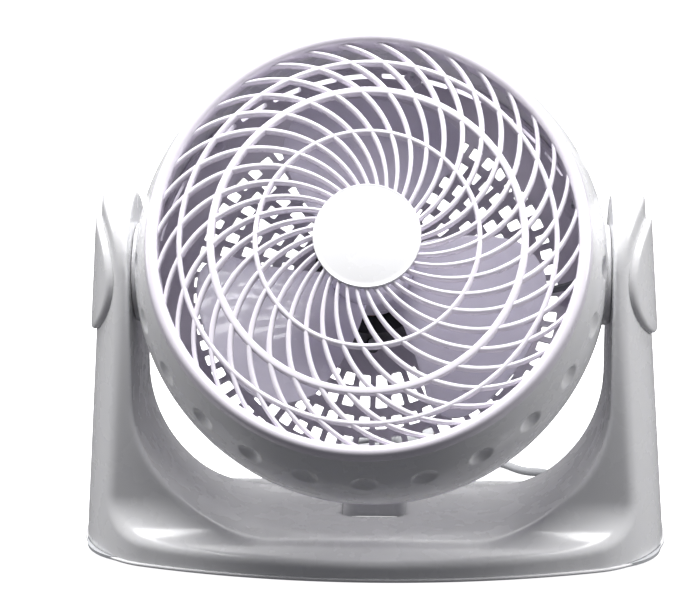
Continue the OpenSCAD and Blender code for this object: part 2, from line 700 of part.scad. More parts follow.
// Angle, height and thickness of a blade at radius r and a share u of its width
function blade_span(r) = 87 - 0.13 * r;
function blade_angle(r, u) = blade_lag * (r - impeller_hub_r) / impeller_r + blade_span(r) * (u - 0.5);
function blade_height(r, u) = blade_l + blade_rise * (0.62 + 0.38 * r / impeller_r)
    * (u - 0.5) * (1 - 0.25 * (u - 0.5));
function blade_edge(u) = 1 - 0.9 * pow(abs(2 * u - 1), 6);
module blade() {
    rs = [for (k = [0:6]) impeller_hub_r - 1 + (impeller_r - impeller_hub_r + 1) * k / 6];
    us = [for (k = [0:10]) k / 10];
    nu = len(us);
    half = (len(rs) * nu);
    function point(r, u, side) = [r * cos(blade_angle(r, u)), r * sin(blade_angle(r, u)),
        blade_height(r, u) + side * blade_t / 2 * blade_edge(u)];
    points = concat([for (r = rs) for (u = us) point(r, u, 1)], [for (r = rs) for (u = us) point(r, u, -1)]);
    function at(i, j, s) = s * half + i * nu + j;
    top = [for (i = [0:len(rs) - 2]) for (j = [0:nu - 2])
        [at(i, j, 0), at(i, j + 1, 0), at(i + 1, j + 1, 0), at(i + 1, j, 0)]];
    under = [for (i = [0:len(rs) - 2]) for (j = [0:nu - 2])
        [at(i, j, 1), at(i + 1, j, 1), at(i + 1, j + 1, 1), at(i, j + 1, 1)]];
    ends = [for (j = [0:nu - 2]) for (s = [0, 1]) let (i = s * (len(rs) - 1))
        s == 0 ? [at(i, j, 0), at(i, j, 1), at(i, j + 1, 1), at(i, j + 1, 0)]
               : [at(i, j, 0), at(i, j + 1, 0), at(i, j + 1, 1), at(i, j, 1)]];
    sides = [for (i = [0:len(rs) - 2]) for (s = [0, 1]) let (j = s * (nu - 1))
        s == 0 ? [at(i, j, 0), at(i + 1, j, 0), at(i + 1, j, 1), at(i, j, 1)]
               : [at(i, j, 0), at(i, j, 1), at(i + 1, j, 1), at(i + 1, j, 0)]];
    polyhedron(points, concat(top, under, ends, sides));
}
module impeller() {
    color("#c3c1cd") on_head() difference() {
        union() {
            for (i = [0:blades - 1]) rotate([0, 0, blade_from + i * 360 / blades]) blade();
            lift(hub_l0) cylinder(r = impeller_hub_r, h = hub_l1 - hub_l0 - 3);
            lift(hub_l1 - 3) cylinder(r1 = impeller_hub_r, r2 = impeller_hub_r - 4, h = 3);
        }
        washer(impeller_hub_r - 2.5, 8, hub_l0 - 1, hub_l1 - 4);
        lift(hub_l0 - 1) cylinder(r = shaft_r, h = hub_l1 - hub_l0 + 2);
    }
}

// ---- Switch, its housing behind the grille, and the knob ----
housing_r = 46;
housing_l = 20;
housing_back = plate_l - housing_l;
housing_t = 2;
at_cover_r = 38;
switch_w = 24;
switch_bush_r = 5;
module at_cover_screws() { ring_of(3, at_cover_r, 90) children(); }
module switch_housing() {
    color(WHITE) on_head() difference() {
        union() {
            difference() {
                union() {
                    lift(housing_back) cylinder(r1 = housing_r - 3, r2 = housing_r, h = 3);
                    lift(housing_back + 3) cylinder(r = housing_r, h = housing_l - 3);
                }
                lift(housing_back + housing_t) cylinder(r = housing_r - housing_t - 1, h = housing_l);
            }
            at_cover_screws() lift(housing_back + 1) cylinder(r = 4, h = housing_l - 1);
        }
        at_cover_screws() lift(housing_back - 1) cylinder(r = 1.4, h = housing_l + 2);
        at_cover_screws() lift(housing_back - 1) cylinder(r = 2.7, h = 5);
        lift(housing_back - 1) cylinder(r = switch_bush_r + 0.05, h = housing_t + 2);
    }
}
module switch_housing_screws() {
    color("silver") on_head() at_cover_screws() {
        lift(housing_back + 2.2) cylinder(r = 2.5, h = 1.8);
        lift(housing_back + 4 - EPS) cylinder(r = 1.3, h = housing_l - 4 + rear_wall);
    }
}
module speed_switch() {
    color("#3a3c40") on_head() difference() {
        union() {
            lift(housing_back + housing_t + 7) cube([switch_w, switch_w, 14], center = true);
            lift(housing_back - 1.6) cylinder(r = switch_bush_r, h = 5);
        }
        lift(housing_back - 3) cylinder(r = 3 + run_clear, h = 10);
    }
}
module speed_knob() {
    base = housing_back - 0.4;
    color("#d9dbe0") on_head() {
        difference() {
            lift(base - 13) cylinder(r1 = knob_r - 1.5, r2 = knob_r, h = 13);
            lift(base - 3) cylinder(r = switch_bush_r + 2, h = 4);
            for (s = [-1, 1]) lift(base - 10) translate([s * (knob_r / 2 + 3), 0, 0])
                cube([knob_r - 6, 40, 8], center = true);
        }
        lift(base - 4) cylinder(r = 3, h = 9);
    }
}

// ---- The lead in the head: from the right pivot, round the motor's side of the grille, to the switch ----
head_lead_route = [
    [lead_joint_x - 0.3, 0, 0], [spigot_end - 8, 0, 0], [drum_r - 10, 0, -1], [drum_r - 15, 0, -8],
    [drum_r - 19, 0, -20], [drum_r - 29, 0, -31], [drum_r - 42, 0, motor_back + lead_r + 0.6],
    [78, 0, motor_back + lead_r + 0.5], [56, 0, motor_back + lead_r + 0.7], [44.6, 0, motor_back + 2.8],
    [39.5, 0, motor_back - 1], [37, 0, plate_l - 4], [30, 0, plate_l - 9], [20, 0, plate_l - 11],
    [switch_w / 2 + 0.2, 0, plate_l - 11]];
module head_lead() { color("#8d9096") on_head() tube(smooth(head_lead_route, 2), lead_r, [0, 1, 0], 8); }

stand_shell();
base_plate();
rubber_feet();
base_screws();
left_pivot_cap();
right_pivot_cap();
stand_lead();
lead_clamp();
clamp_screws();
strain_relief();
power_cord();
cord_coil();
cord_tie();
plug_body();
plug_pins();
drum_housing();
front_grille();
hub_cap();
rear_grille();
grille_screws();
left_pivot_retainer();
right_pivot_retainer();
retainer_screws();
head_lead();
motor_front_shell();
motor_rear_shell();
motor_bolts();
stator_core();
stator_windings();
shaft_bushings();
motor_screws();
switch_housing();
switch_housing_screws();
speed_switch();
impeller();
motor_shaft();
rotor_core();
impeller_nut();
speed_knob();
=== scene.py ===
"""Tabletop air circulator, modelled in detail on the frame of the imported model.

Lengths are in millimetres in the formulas and become metres when a mesh is made. The stand's own
place is measured from the tilt axis in Y and from the floor in Z. The head has a frame of its own:
X to the right, Y up in the plane of the grille, and L forward along the fan's axis.
"""
import json
import math

import bmesh
import bpy
import numpy as np
import openvdb
from mathutils import Matrix, Vector


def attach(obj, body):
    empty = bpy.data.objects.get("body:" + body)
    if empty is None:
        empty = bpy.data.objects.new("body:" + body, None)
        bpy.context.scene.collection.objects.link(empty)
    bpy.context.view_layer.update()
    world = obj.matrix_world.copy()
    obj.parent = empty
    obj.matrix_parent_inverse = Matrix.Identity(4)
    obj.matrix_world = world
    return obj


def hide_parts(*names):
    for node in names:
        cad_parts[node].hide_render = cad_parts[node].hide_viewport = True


MM = 0.001
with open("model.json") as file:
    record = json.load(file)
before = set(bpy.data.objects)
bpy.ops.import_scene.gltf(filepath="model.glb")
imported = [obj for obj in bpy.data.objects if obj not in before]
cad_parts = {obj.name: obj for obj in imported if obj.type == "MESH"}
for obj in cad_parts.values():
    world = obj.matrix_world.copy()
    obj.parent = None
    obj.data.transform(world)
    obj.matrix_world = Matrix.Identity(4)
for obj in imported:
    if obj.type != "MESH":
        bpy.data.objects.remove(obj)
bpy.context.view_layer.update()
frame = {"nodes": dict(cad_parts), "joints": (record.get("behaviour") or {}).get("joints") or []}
scene = bpy.context.scene
nodes = frame["nodes"]
joints = {j["name"]: j for j in frame["joints"]}

AXIS_Y = joints["head_tilt"]["pos_m"][1] / MM
AXIS_Z = joints["head_tilt"]["pos_m"][2] / MM
SPIN = joints["impeller_spin"]["axis"]
TILT = math.atan2(SPIN[2], -SPIN[1])
TAU = 2 * math.pi


# ---------------------------------------------------------------- frames and meshes
def to_stand(points):
    """From the tilt axis's own Y to the row frame."""
    points = np.asarray(points, float).reshape(-1, 3)
    return points + np.array([0, AXIS_Y, 0])


def to_head(points):
    """From the head's own frame (x, y, l) to the row frame."""
    points = np.asarray(points, float).reshape(-1, 3)
    turn = math.pi / 2 - TILT
    x, y, l = points.T
    c, s = math.cos(turn), math.sin(turn)
    return np.stack([x, AXIS_Y + y * c - l * s, AXIS_Z + y * s + l * c], 1)


def add_mesh(name, points, faces, material, body, smooth=True, angle=None):
    """A mesh object from points in millimetres in the row frame, riding on a body."""
    mesh = bpy.data.meshes.new(name)
    mesh.from_pydata((np.asarray(points, float) * MM).tolist(), [], [list(map(int, f)) for f in faces])
    mesh.validate()
    mesh.update()
    mesh.polygons.foreach_set("use_smooth", [smooth] * len(mesh.polygons))
    if angle is not None:
        mesh.set_sharp_from_angle(angle=math.radians(angle))
    obj = bpy.data.objects.new(name, mesh)
    scene.collection.objects.link(obj)
    mesh.materials.append(material)
    if body:
        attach(obj, body)
    return obj


def grid_faces(rows, cols, start=0, wrap_rows=False, wrap_cols=True, flip=False):
    """Quads between rows of points, each row cols long."""
    faces = []
    for i in range(rows if wrap_rows else rows - 1):
        a = start + i * cols
        b = start + (i + 1) % rows * cols
        for k in range(cols if wrap_cols else cols - 1):
            n = (k + 1) % cols
            quad = [a + k, a + n, b + n, b + k]
            faces.append(quad[::-1] if flip else quad)
    return faces


def lathe(profile, steps=256, closed=True):
    """Points and quads of a profile of (radius, l) turned about the head's axis.
    A closed profile goes anticlockwise as seen with l up and the radius to the right."""
    profile = np.asarray(profile, float)
    turns = np.arange(steps) * TAU / steps
    points = [[r * math.cos(t), r * math.sin(t), l] for r, l in profile for t in turns]
    return np.array(points), grid_faces(len(profile), steps, wrap_rows=closed)


def join(parts):
    """One list of points and one of faces, from several."""
    points, faces, start = [], [], 0
    for p, f in parts:
        points.append(np.asarray(p, float))
        faces += [[i + start for i in face] for face in f]
        start += len(p)
    return np.concatenate(points), faces


def turned(part, angle):
    """A part of the head, turned about the fan's axis."""
    p, f = part
    c, s = math.cos(angle), math.sin(angle)
    return np.stack([p[:, 0] * c - p[:, 1] * s, p[:, 0] * s + p[:, 1] * c, p[:, 2]], 1), f


def sweep(path, sections, closed=False):
    """A solid bar: sections[i] is a loop of points already placed at path[i]."""
    count, sides = len(path), len(sections[0])
    points = np.concatenate(sections)
    faces = grid_faces(count, sides, wrap_rows=closed)
    if not closed:
        faces.append(list(range(sides))[::-1])
        faces.append([(count - 1) * sides + k for k in range(sides)])
    return points, faces


def rounded_loop(width, depth, radius, corner=4):
    """A rounded rectangle about the origin, anticlockwise, as (across, along) points."""
    radius = min(radius, width / 2 - 1e-3, depth / 2 - 1e-3)
    loop = []
    for quarter, (sx, sy) in enumerate([(1, 1), (-1, 1), (-1, -1), (1, -1)]):
        cx, cy = sx * (width / 2 - radius), sy * (depth / 2 - radius)
        for k in range(corner + 1):
            a = (quarter + k / corner) * math.pi / 2
            loop.append((cx + radius * math.cos(a), cy + radius * math.sin(a)))
    return np.array(loop)


def arc(cx, cy, r, a0, a1, n):
    """Points of an arc in degrees."""
    angles = np.radians(np.linspace(a0, a1, n + 1))
    return [(cx + r * math.cos(a), cy + r * math.sin(a)) for a in angles]


def combine(target, cutter, operation):
    """Applies a boolean to target and removes the cutter."""
    mod = target.modifiers.new(operation, "BOOLEAN")
    mod.operation = operation
    mod.solver = "MANIFOLD"
    mod.object = cutter
    depsgraph = bpy.context.evaluated_depsgraph_get()
    mesh = bpy.data.meshes.new_from_object(target.evaluated_get(depsgraph))
    target.modifiers.remove(mod)
    old = target.data
    target.data = mesh
    bpy.data.meshes.remove(old)
    bpy.data.objects.remove(cutter)


# ---------------------------------------------------------------- materials
def new_material(name):
    mat = bpy.data.materials.new(name)
    mat.use_nodes = True
    return mat, mat.node_tree, mat.node_tree.nodes["Principled BSDF"]


def noise(tree, scale, detail=2.0, coords="Object"):
    """A noise texture in the object's own coordinates."""
    where = tree.nodes.new("ShaderNodeTexCoord")
    node = tree.nodes.new("ShaderNodeTexNoise")
    node.inputs["Scale"].default_value = scale
    node.inputs["Detail"].default_value = detail
    tree.links.new(where.outputs[coords], node.inputs["Vector"])
    return node


def ramp(tree, source, low, high, at=(0.3, 0.7)):
    """Colours or greys that follow a value."""
    node = tree.nodes.new("ShaderNodeValToRGB")
    for stop, place, value in zip(node.color_ramp.elements, at, (low, high)):
        stop.position = place
        stop.color = value if len(value) == 4 else (*value, 1)
    tree.links.new(source, node.inputs["Fac"])
    return node


def grey(v):
    return (v, v, v)


def bump(tree, shader, source, strength, distance):
    node = tree.nodes.new("ShaderNodeBump")
    node.inputs["Strength"].default_value = strength
    node.inputs["Distance"].default_value = distance
    tree.links.new(source, node.inputs["Height"])
    tree.links.new(node.outputs["Normal"], shader.inputs["Normal"])


def moulded(name, color, roughness, spread=0.05, tint=0.02, grain=900, grain_depth=0.00002):
    """Injection-moulded plastic: faint cloudiness in colour, uneven gloss and a fine skin texture."""
    mat, tree, shader = new_material(name)
    cloud = noise(tree, 4, 2)
    dark = tuple(c * (1 - tint) for c in color)
    light = tuple(min(1, c * (1 + tint)) for c in color)
    tree.links.new(ramp(tree, cloud.outputs["Fac"], dark, light).outputs["Color"],
                   shader.inputs["Base Color"])
    gloss = noise(tree, 60, 4)
    low, high = max(0.02, roughness - spread), roughness + spread
    tree.links.new(ramp(tree, gloss.outputs["Fac"], grey(low), grey(high)).outputs["Color"],
                   shader.inputs["Roughness"])
    fine = noise(tree, grain, 2)
    bump(tree, shader, fine.outputs["Fac"], 0.2, grain_depth)
    shader.inputs["IOR"].default_value = 1.5
    return mat, tree, shader


def metal(name, color, roughness, scratch=140, spread=0.12):
    mat, tree, shader = new_material(name)
    shader.inputs["Metallic"].default_value = 1.0
    streak = noise(tree, scratch, 5)
    dark = tuple(c * 0.82 for c in color)
    tree.links.new(ramp(tree, streak.outputs["Fac"], dark, color).outputs["Color"],
                   shader.inputs["Base Color"])
    gloss = ramp(tree, streak.outputs["Fac"], grey(roughness), grey(roughness + spread))
    tree.links.new(gloss.outputs["Color"], shader.inputs["Roughness"])
    bump(tree, shader, streak.outputs["Fac"], 0.2, 0.00004)
    return mat


white, tree, shader = moulded("white_gloss_abs", (0.86, 0.86, 0.875), 0.27, tint=0.006)
shader.inputs["Coat Weight"].default_value = 0.25
shader.inputs["Coat Roughness"].default_value = 0.12
shader.inputs["Subsurface Weight"].default_value = 0.06
shader.inputs["Subsurface Radius"].default_value = (0.004, 0.004, 0.005)
shader.inputs["Subsurface Scale"].default_value = 1.0

# The front grille is white plastic; the lilac tint in this colour is painted shade, standing in for the lilac
# shading on the ribs' sides and the bezel's inner face.
grille_white_lilac_shade, tree, shader = moulded("white_grille_abs_lilac_shade", (0.86, 0.82, 0.9), 0.3, tint=0.008)
shader.inputs["Coat Weight"].default_value = 0.2
shader.inputs["Coat Roughness"].default_value = 0.15

# The rear grille is white plastic; this darker lilac grey is painted shade, standing in for the shade it sits
# in behind the blades.
cage_painted_shade, tree, shader = moulded("rear_grille_abs_painted_shade", (0.74, 0.7, 0.79), 0.38, tint=0.02)

blade_lilac, tree, shader = moulded("blade_translucent", (0.74, 0.71, 0.83), 0.24, tint=0.02)
shader.inputs["Subsurface Weight"].default_value = 0.15
shader.inputs["Subsurface Radius"].default_value = (0.006, 0.006, 0.008)
shader.inputs["Subsurface Scale"].default_value = 1.0
shader.inputs["Coat Weight"].default_value = 0.3

knob_white = moulded("knob_satin_abs", (0.72, 0.73, 0.76), 0.36)[0]
base_grey = moulded("base_textured_pp", (0.55, 0.56, 0.58), 0.6, grain=500, grain_depth=0.00006)[0]
cord_pvc = moulded("cord_pvc", (0.6, 0.61, 0.63), 0.45, grain=700, grain_depth=0.00003)[0]
lead_pvc = moulded("lead_pvc", (0.2, 0.205, 0.22), 0.5)[0]
tie_nylon = moulded("tie_nylon", (0.03, 0.03, 0.033), 0.45)[0]
foot_rubber = moulded("foot_rubber", (0.012, 0.012, 0.013), 0.75, grain=400, grain_depth=0.00008)[0]
black_plastic = moulded("switch_phenolic", (0.015, 0.015, 0.017), 0.42)[0]
motor_black = moulded("motor_black_paint", (0.012, 0.012, 0.014), 0.4, grain=350, grain_depth=0.00006)[0]
screw_zinc = metal("screw_zinc", (0.62, 0.63, 0.66), 0.25)
pin_brass = metal("pin_brass", (0.78, 0.62, 0.34), 0.22)
core_steel = metal("laminated_steel", (0.24, 0.24, 0.26), 0.4, scratch=300)
bronze = metal("sintered_bronze", (0.52, 0.36, 0.16), 0.45, scratch=500)
copper = metal("enamelled_copper", (0.55, 0.22, 0.07), 0.3, scratch=260)

CAD_FINISH = {
    "base_plate": base_grey, "rubber_feet": foot_rubber, "base_screws": screw_zinc, "stand_lead": lead_pvc,
    "lead_clamp": base_grey, "clamp_screws": screw_zinc, "plug_pins": pin_brass, "grille_screws": screw_zinc,
    "left_pivot_retainer": screw_zinc, "right_pivot_retainer": screw_zinc, "retainer_screws": screw_zinc,
    "head_lead": lead_pvc, "motor_front_shell": motor_black, "motor_rear_shell": motor_black,
    "motor_bolts": screw_zinc, "stator_core": core_steel, "stator_windings": copper, "shaft_bushings": bronze,
    "motor_screws": screw_zinc, "switch_housing_screws": screw_zinc, "speed_switch": black_plastic,
    "motor_shaft": screw_zinc, "rotor_core": core_steel, "impeller_nut": black_plastic,
    "stand_shell": white, "left_pivot_cap": white, "right_pivot_cap": white, "drum_housing": white,
    "front_grille": grille_white_lilac_shade, "hub_cap": white, "rear_grille": cage_painted_shade, "switch_housing": white,
    "impeller": blade_lilac, "speed_knob": knob_white, "strain_relief": cord_pvc, "power_cord": cord_pvc,
    "cord_coil": cord_pvc, "cord_tie": tie_nylon, "plug_body": cord_pvc,
}
for node_name, finish in CAD_FINISH.items():
    cad = nodes[node_name].data
    cad.materials.clear()
    cad.materials.append(finish)


# ---------------------------------------------------------------- camera
VIEW_DISTANCE = 1300
VIEW_ELEVATION = math.radians(13.4)
VIEW_AZIMUTH = math.radians(2.7)
VIEW_ROLL = math.radians(0.23)
LENS = 113.56
SHIFT = (-0.0421, -0.0348)

back = Vector((math.sin(VIEW_AZIMUTH) * math.cos(VIEW_ELEVATION),
               -math.cos(VIEW_AZIMUTH) * math.cos(VIEW_ELEVATION), math.sin(VIEW_ELEVATION)))
camera_data = bpy.data.cameras.new("camera")
camera = bpy.data.objects.new("camera", camera_data)
scene.collection.objects.link(camera)
camera.location = Vector((0, AXIS_Y, AXIS_Z)) * MM + back * VIEW_DISTANCE * MM
camera.rotation_euler = ((-back).to_track_quat("-Z", "Y").to_matrix()
                         @ Matrix.Rotation(-VIEW_ROLL, 3, "Z")).to_euler()
camera_data.lens = LENS
camera_data.sensor_width = 36
camera_data.shift_x, camera_data.shift_y = SHIFT
camera_data.clip_start = 0.05
scene.camera = camera


# ---------------------------------------------------------------- mains lead
CORD_D = 5.6
CORD_LOW = CORD_D / 2 + 0.1
COIL_TOP = 2 * CORD_D + 0.1
RELIEF_AT = (110, 66.8, 9.8)
RELIEF_END = 95
COIL_AT = (0, 116)
COIL_MID_R = 33.6
COIL_WIDE = 4
CORD_ROUTE = [
    (110, 95, 9.8), (110, 98, 9.6), (109.2, 104.4, 8.8), (106.9, 110.4, 7.3), (103.9, 114.7, 6),
    (98.8, 120.8, 4.3), (93.6, 126.9, 3.2), (88.5, 133, 2.9), (83.7, 138.8, 2.9), (77.4, 144, 2.9),
    (69.8, 146.8, 2.9), (61.6, 146.8, 2.9), (54, 144, 2.9), (47.7, 138.7, 2.9), (43.5, 131.4, 2.9),
    (42, 124.4, 2.9), (42, 118, 2.9)]
PLUG_ROUTE = [
    (-42, 116, 8.5), (-42, 121, 8.5), (-42, 129, 8.2), (-42, 137, 7.1), (-42, 144, 5.7), (-42, 150, 4.3),
    (-40.7, 158.3, 3.1), (-37, 165.8, 2.9), (-31.2, 171.6, 3.8), (-24.1, 175.5, 5.5), (-16, 177, 7.1),
    (-9, 177, 8), (-4, 177, 8.1)]
PLUG_AT = (-4, 177, 8.1)


def ease(t):
    t = min(max(t, 0.0), 1.0)
    return t * t * (3 - 2 * t)


def smooth_route(points, steps):
    """The Catmull-Rom curve through points."""
    points = [np.array(p, float) for p in points]
    out = []
    for i in range(len(points) - 1):
        a, b, c, d = points[max(i - 1, 0)], points[i], points[i + 1], points[min(i + 2, len(points) - 1)]
        for k in range(steps):
            t = k / steps
            out.append(0.5 * (2 * b + (c - a) * t + (2 * a - 5 * b + 4 * c - d) * t * t
                              + (3 * b - a - 3 * c + d) * t ** 3))
    return out + [points[-1]]


def coil_turns(start_angle, end_angle, per_turn):
    """Turns of the coil, clockwise: inwards along the floor, then outwards on top of them."""
    total = COIL_WIDE * 2 - 1 + ((start_angle - end_angle) % 360) / 360
    radii = [COIL_MID_R + CORD_D * (COIL_WIDE / 2 - 0.5 - k) for k in range(COIL_WIDE)]
    radii = radii + radii[::-1]
    lows = [CORD_LOW] * COIL_WIDE + [CORD_LOW + CORD_D] * COIL_WIDE
    out = []
    count = int(total * per_turn)
    for i in range(count + 1):
        s = total * i / count
        turn = min(int(s), 2 * COIL_WIDE - 1)
        share = s - turn
        after = min(turn + 1, 2 * COIL_WIDE - 1)
        lower = turn < COIL_WIDE
        move = ease((share - (0.5 if lower else 0.05)) / 0.45)
        rise = ease((share - 0.3) / 0.32)
        r = radii[turn] + (radii[after] - radii[turn]) * move
        z = lows[turn] + (lows[after] - lows[turn]) * rise
        a = math.radians(start_angle - 360 * s)
        out.append(np.array([COIL_AT[0] + r * math.cos(a), COIL_AT[1] + r * math.sin(a), z]))
    return out


entry = CORD_ROUTE[-1]
entry_angle = math.degrees(math.atan2(entry[1] - COIL_AT[1], entry[0] - COIL_AT[0]))
cord_points = (smooth_route(CORD_ROUTE, 4)[:-1] + coil_turns(entry_angle, 180, 96)
               + smooth_route(PLUG_ROUTE, 4)[1:])
cord_points = to_stand(cord_points) * MM
cord_length = float(np.linalg.norm(np.diff(cord_points, axis=0), axis=1).sum())
print("cord length", round(cord_length, 4))

cord_curve = bpy.data.curves.new("power_cord", "CURVE")
cord_curve.dimensions = "3D"
cord_curve.bevel_depth = CORD_D / 2 * MM
cord_curve.bevel_resolution = 4
cord_curve.use_fill_caps = True
spline = cord_curve.splines.new("POLY")
spline.points.add(len(cord_points) - 1)
spline.points.foreach_set("co", np.column_stack([cord_points, np.ones(len(cord_points))]).ravel())
spline.use_smooth = True
cord_curve.materials.append(cord_pvc)
cord_piece = bpy.data.objects.new("mains_lead", cord_curve)
scene.collection.objects.link(cord_piece)
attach(cord_piece, "stand")
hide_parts("power_cord", "cord_coil")



# ---------------------------------------------------------------- floor and light
def floor_and_light():
    bpy.ops.mesh.primitive_plane_add(size=12)
    floor = bpy.context.object
    floor.name = "floor"
    mat, tree, shader = new_material("pale_floor")
    shader.inputs["Base Color"].default_value = (0.9, 0.9, 0.91, 1)
    shader.inputs["Roughness"].default_value = 0.6
    shader.inputs["Emission Color"].default_value = (1, 1, 1, 1)
    shader.inputs["Emission Strength"].default_value = 1.0
    floor.data.materials.append(mat)
    floor.visible_diffuse = False
    floor.visible_glossy = False

    world = bpy.data.worlds.new("studio")
    scene.world = world
    world.use_nodes = True
    sky = world.node_tree.nodes["Background"]
    sky.inputs["Color"].default_value = (0.93, 0.93, 1.0, 1)
    sky.inputs["Strength"].default_value = 0.12

    def area(name, place, aim, size, power, color=(1, 1, 1)):
        data = bpy.data.lights.new(name, "AREA")
        data.shape = "RECTANGLE"
        data.size, data.size_y = size
        data.energy = power
        data.color = color
        lamp = bpy.data.objects.new(name, data)
        scene.collection.objects.link(lamp)
        lamp.location = place
        lamp.visible_camera = False
        lamp.rotation_euler = (Vector(aim) - Vector(place)).to_track_quat("-Z", "Y").to_euler()

    area("top_softbox", (-0.05, -0.22, 1.35), (0, -0.02, 0.15), (0.8, 0.6), 27)
    area("back_wall", (0, 1.6, 1.3), (0, 0, 0.25), (2.4, 1.2), 14)
    area("left_strip", (-1.4, 0.15, 0.7), (0, 0, 0.2), (0.4, 0.8), 10)
    area("right_strip", (1.4, 0.05, 0.7), (0, 0, 0.2), (0.4, 0.8), 13)


floor_and_light()
scene.view_settings.view_transform = "Standard"
scene.view_settings.look = "None"


# ---------------------------------------------------------------- stand, as one smooth form
STAND_W = 359 - 2.4
STAND_FRONT = 75.8
STAND_REAR = 66.8
STAND_TOP = 218
BOW_R = 450
FRONT_CORNER_R = 42
REAR_CORNER_R = 30
LEAN_X = 0.906
LEAN_Y = 0.96
LIP_Z = 12.3
DECK_RISE = math.radians(11)
REAR_LEDGE_Z = 17
DECK_Z = 18
ARM_HALF_D = 39.5
ARM_FILLET = 20
COVE_HALF_W = 141.5
COVE_R = 82
SLOT_Y = 14.5
SLOT_HALF = (20, 22.5)
SLOT_R = 9
FOOT_H = 1.4
WALL = 2.6
EDGE_R = 3.6
CAP_R = 34.5
CAP_OUT = 3.7
CAP_HOLE_R = 24
PIVOT_HOLE_R = 10.05


def both(a, b, r):
    """Intersection of two distances, with its edge rounded by r."""
    return np.minimum(-r, np.maximum(a, b)) + np.hypot(np.maximum(a + r, 0), np.maximum(b + r, 0))


def either(a, b, r):
    """Union of two distances, with a fillet of radius r."""
    return np.maximum(r, np.minimum(a, b)) - np.hypot(np.maximum(r - a, 0), np.maximum(r - b, 0))


def box_distance(x, y, half_x, half_y, r):
    """Distance to a rectangle with round corners."""
    qx, qy = np.abs(x) - (half_x - r), np.abs(y) - (half_y - r)
    return np.minimum(np.maximum(qx, qy), 0) + np.hypot(np.maximum(qx, 0), np.maximum(qy, 0)) - r


def plan_distance(x, y):
    """The stand's outline on the floor: a bowed front, straight sides and back."""
    bow = np.hypot(x, y - (BOW_R - STAND_FRONT)) - BOW_R
    sides = both(bow, np.abs(x) - STAND_W / 2, FRONT_CORNER_R)
    return both(sides, y - STAND_REAR, REAR_CORNER_R)


def envelope_distance(x, y, z):
    """The outline, leaning in towards the top."""
    share = np.clip(z / (STAND_TOP + 2), 0, 1)
    sx, sy = 1 - (1 - LEAN_X) * share, 1 - (1 - LEAN_Y) * share
    return plan_distance(x / sx, y / sy) * sx


def side_distance(y, z):
    """Side view: round-topped arms that sweep into the front and rear decks."""
    top_centre = STAND_TOP - ARM_HALF_D
    arm = np.hypot(y, np.maximum(z - top_centre, 0)) - ARM_HALF_D
    front = (z - LIP_Z - (y + STAND_FRONT + 1.2) * math.tan(DECK_RISE)) * math.cos(DECK_RISE)
    deck = np.where(y < 0, front, z - REAR_LEDGE_Z)
    return either(arm, deck, ARM_FILLET)


def cove_distance(x, z):
    """Front view of the round-cornered cove that the head sits in."""
    qx, qz = np.abs(x) - (COVE_HALF_W - COVE_R), DECK_Z + COVE_R - z
    return np.minimum(np.maximum(qx, qz), 0) + np.hypot(np.maximum(qx, 0), np.maximum(qz, 0)) - COVE_R


def stand_distance(p):
    x, y, z = p[..., 0], p[..., 1], p[..., 2]
    form = both(envelope_distance(x, y, z), side_distance(y, z), EDGE_R)
    form = both(form, -cove_distance(x, z), 2.6)
    form = both(form, -box_distance(x, y - SLOT_Y, *SLOT_HALF, SLOT_R), 1.2)
    return np.maximum(form, FOOT_H - z)


def mesh_from_distance(distance, low, high, voxel, settle=4):
    """Points and quads where a distance is zero, moved onto it exactly."""
    sides = [np.arange(a, b + voxel, voxel) for a, b in zip(low, high)]
    lattice = np.stack(np.meshgrid(*sides, indexing="ij"), -1)
    values = distance(lattice).astype(np.float32)
    volume = openvdb.FloatGrid(float(values.max()))
    volume.copyFromArray(values)
    points, quads = volume.convertToQuads(isovalue=0.0)
    points = np.asarray(points, float) * voxel + np.array(low)
    step = 0.05
    for _ in range(settle):
        value = distance(points)
        slope = np.stack([(distance(points + step * axis) - distance(points - step * axis)) / (2 * step)
                          for axis in np.eye(3)], -1)
        size = np.maximum((slope ** 2).sum(-1), 0.25)
        points = points - slope * np.clip(value / size, -voxel, voxel)[:, None]
    return points, np.asarray(quads)


def cylinder_part(start, end, radius, steps=96):
    """A closed cylinder between two points, as points and faces."""
    start, end = Vector(start), Vector(end)
    turn = (end - start).to_track_quat("Z", "Y").to_matrix()
    loops = []
    for centre in (start, end):
        loops += [centre + turn @ Vector((radius * math.cos(k * TAU / steps),
                                          radius * math.sin(k * TAU / steps), 0))
                  for k in range(steps)]
    faces = grid_faces(2, steps) + [list(range(steps))[::-1], list(range(steps, 2 * steps))]
    return np.array([list(p) for p in loops]), faces


def build_stand():
    points, quads = mesh_from_distance(
        stand_distance, (-184, -82, -1.2), (184, 74, 222), 1.6)
    floor_z = FOOT_H + 0.02
    keep = [q for q in quads if max(points[i][2] for i in q) > floor_z]
    shell = add_mesh("stand_shell_form", to_stand(points), keep, white, None)
    mesh = shell.data
    mesh.flip_normals() if mesh_volume(mesh) < 0 else None
    solid = shell.modifiers.new("wall", "SOLIDIFY")
    solid.thickness = WALL * MM
    solid.offset = -1
    apply_modifiers(shell)
    for side in (-1, 1):
        inner = cylinder_part((side * (COVE_HALF_W - 3), 0, AXIS_Z),
                              (side * (COVE_HALF_W + 5), 0, AXIS_Z), PIVOT_HOLE_R)
        outer = cylinder_part((side * (COVE_HALF_W + 8), 0, AXIS_Z), (side * 190, 0, AXIS_Z), CAP_HOLE_R)
        for part in (inner, outer):
            tool = add_mesh("tool", to_stand(part[0]), part[1], white, None)
            combine(shell, tool, "DIFFERENCE")
    smooth_all(shell, 50)
    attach(shell, "stand")
    return shell


def mesh_volume(mesh):
    """Signed volume of a mesh, about the origin, from its faces' first corners."""
    total = 0.0
    for face in mesh.polygons:
        corners = [mesh.vertices[i].co for i in face.vertices]
        for k in range(1, len(corners) - 1):
            total += corners[0].dot(corners[k].cross(corners[k + 1]))
    return total


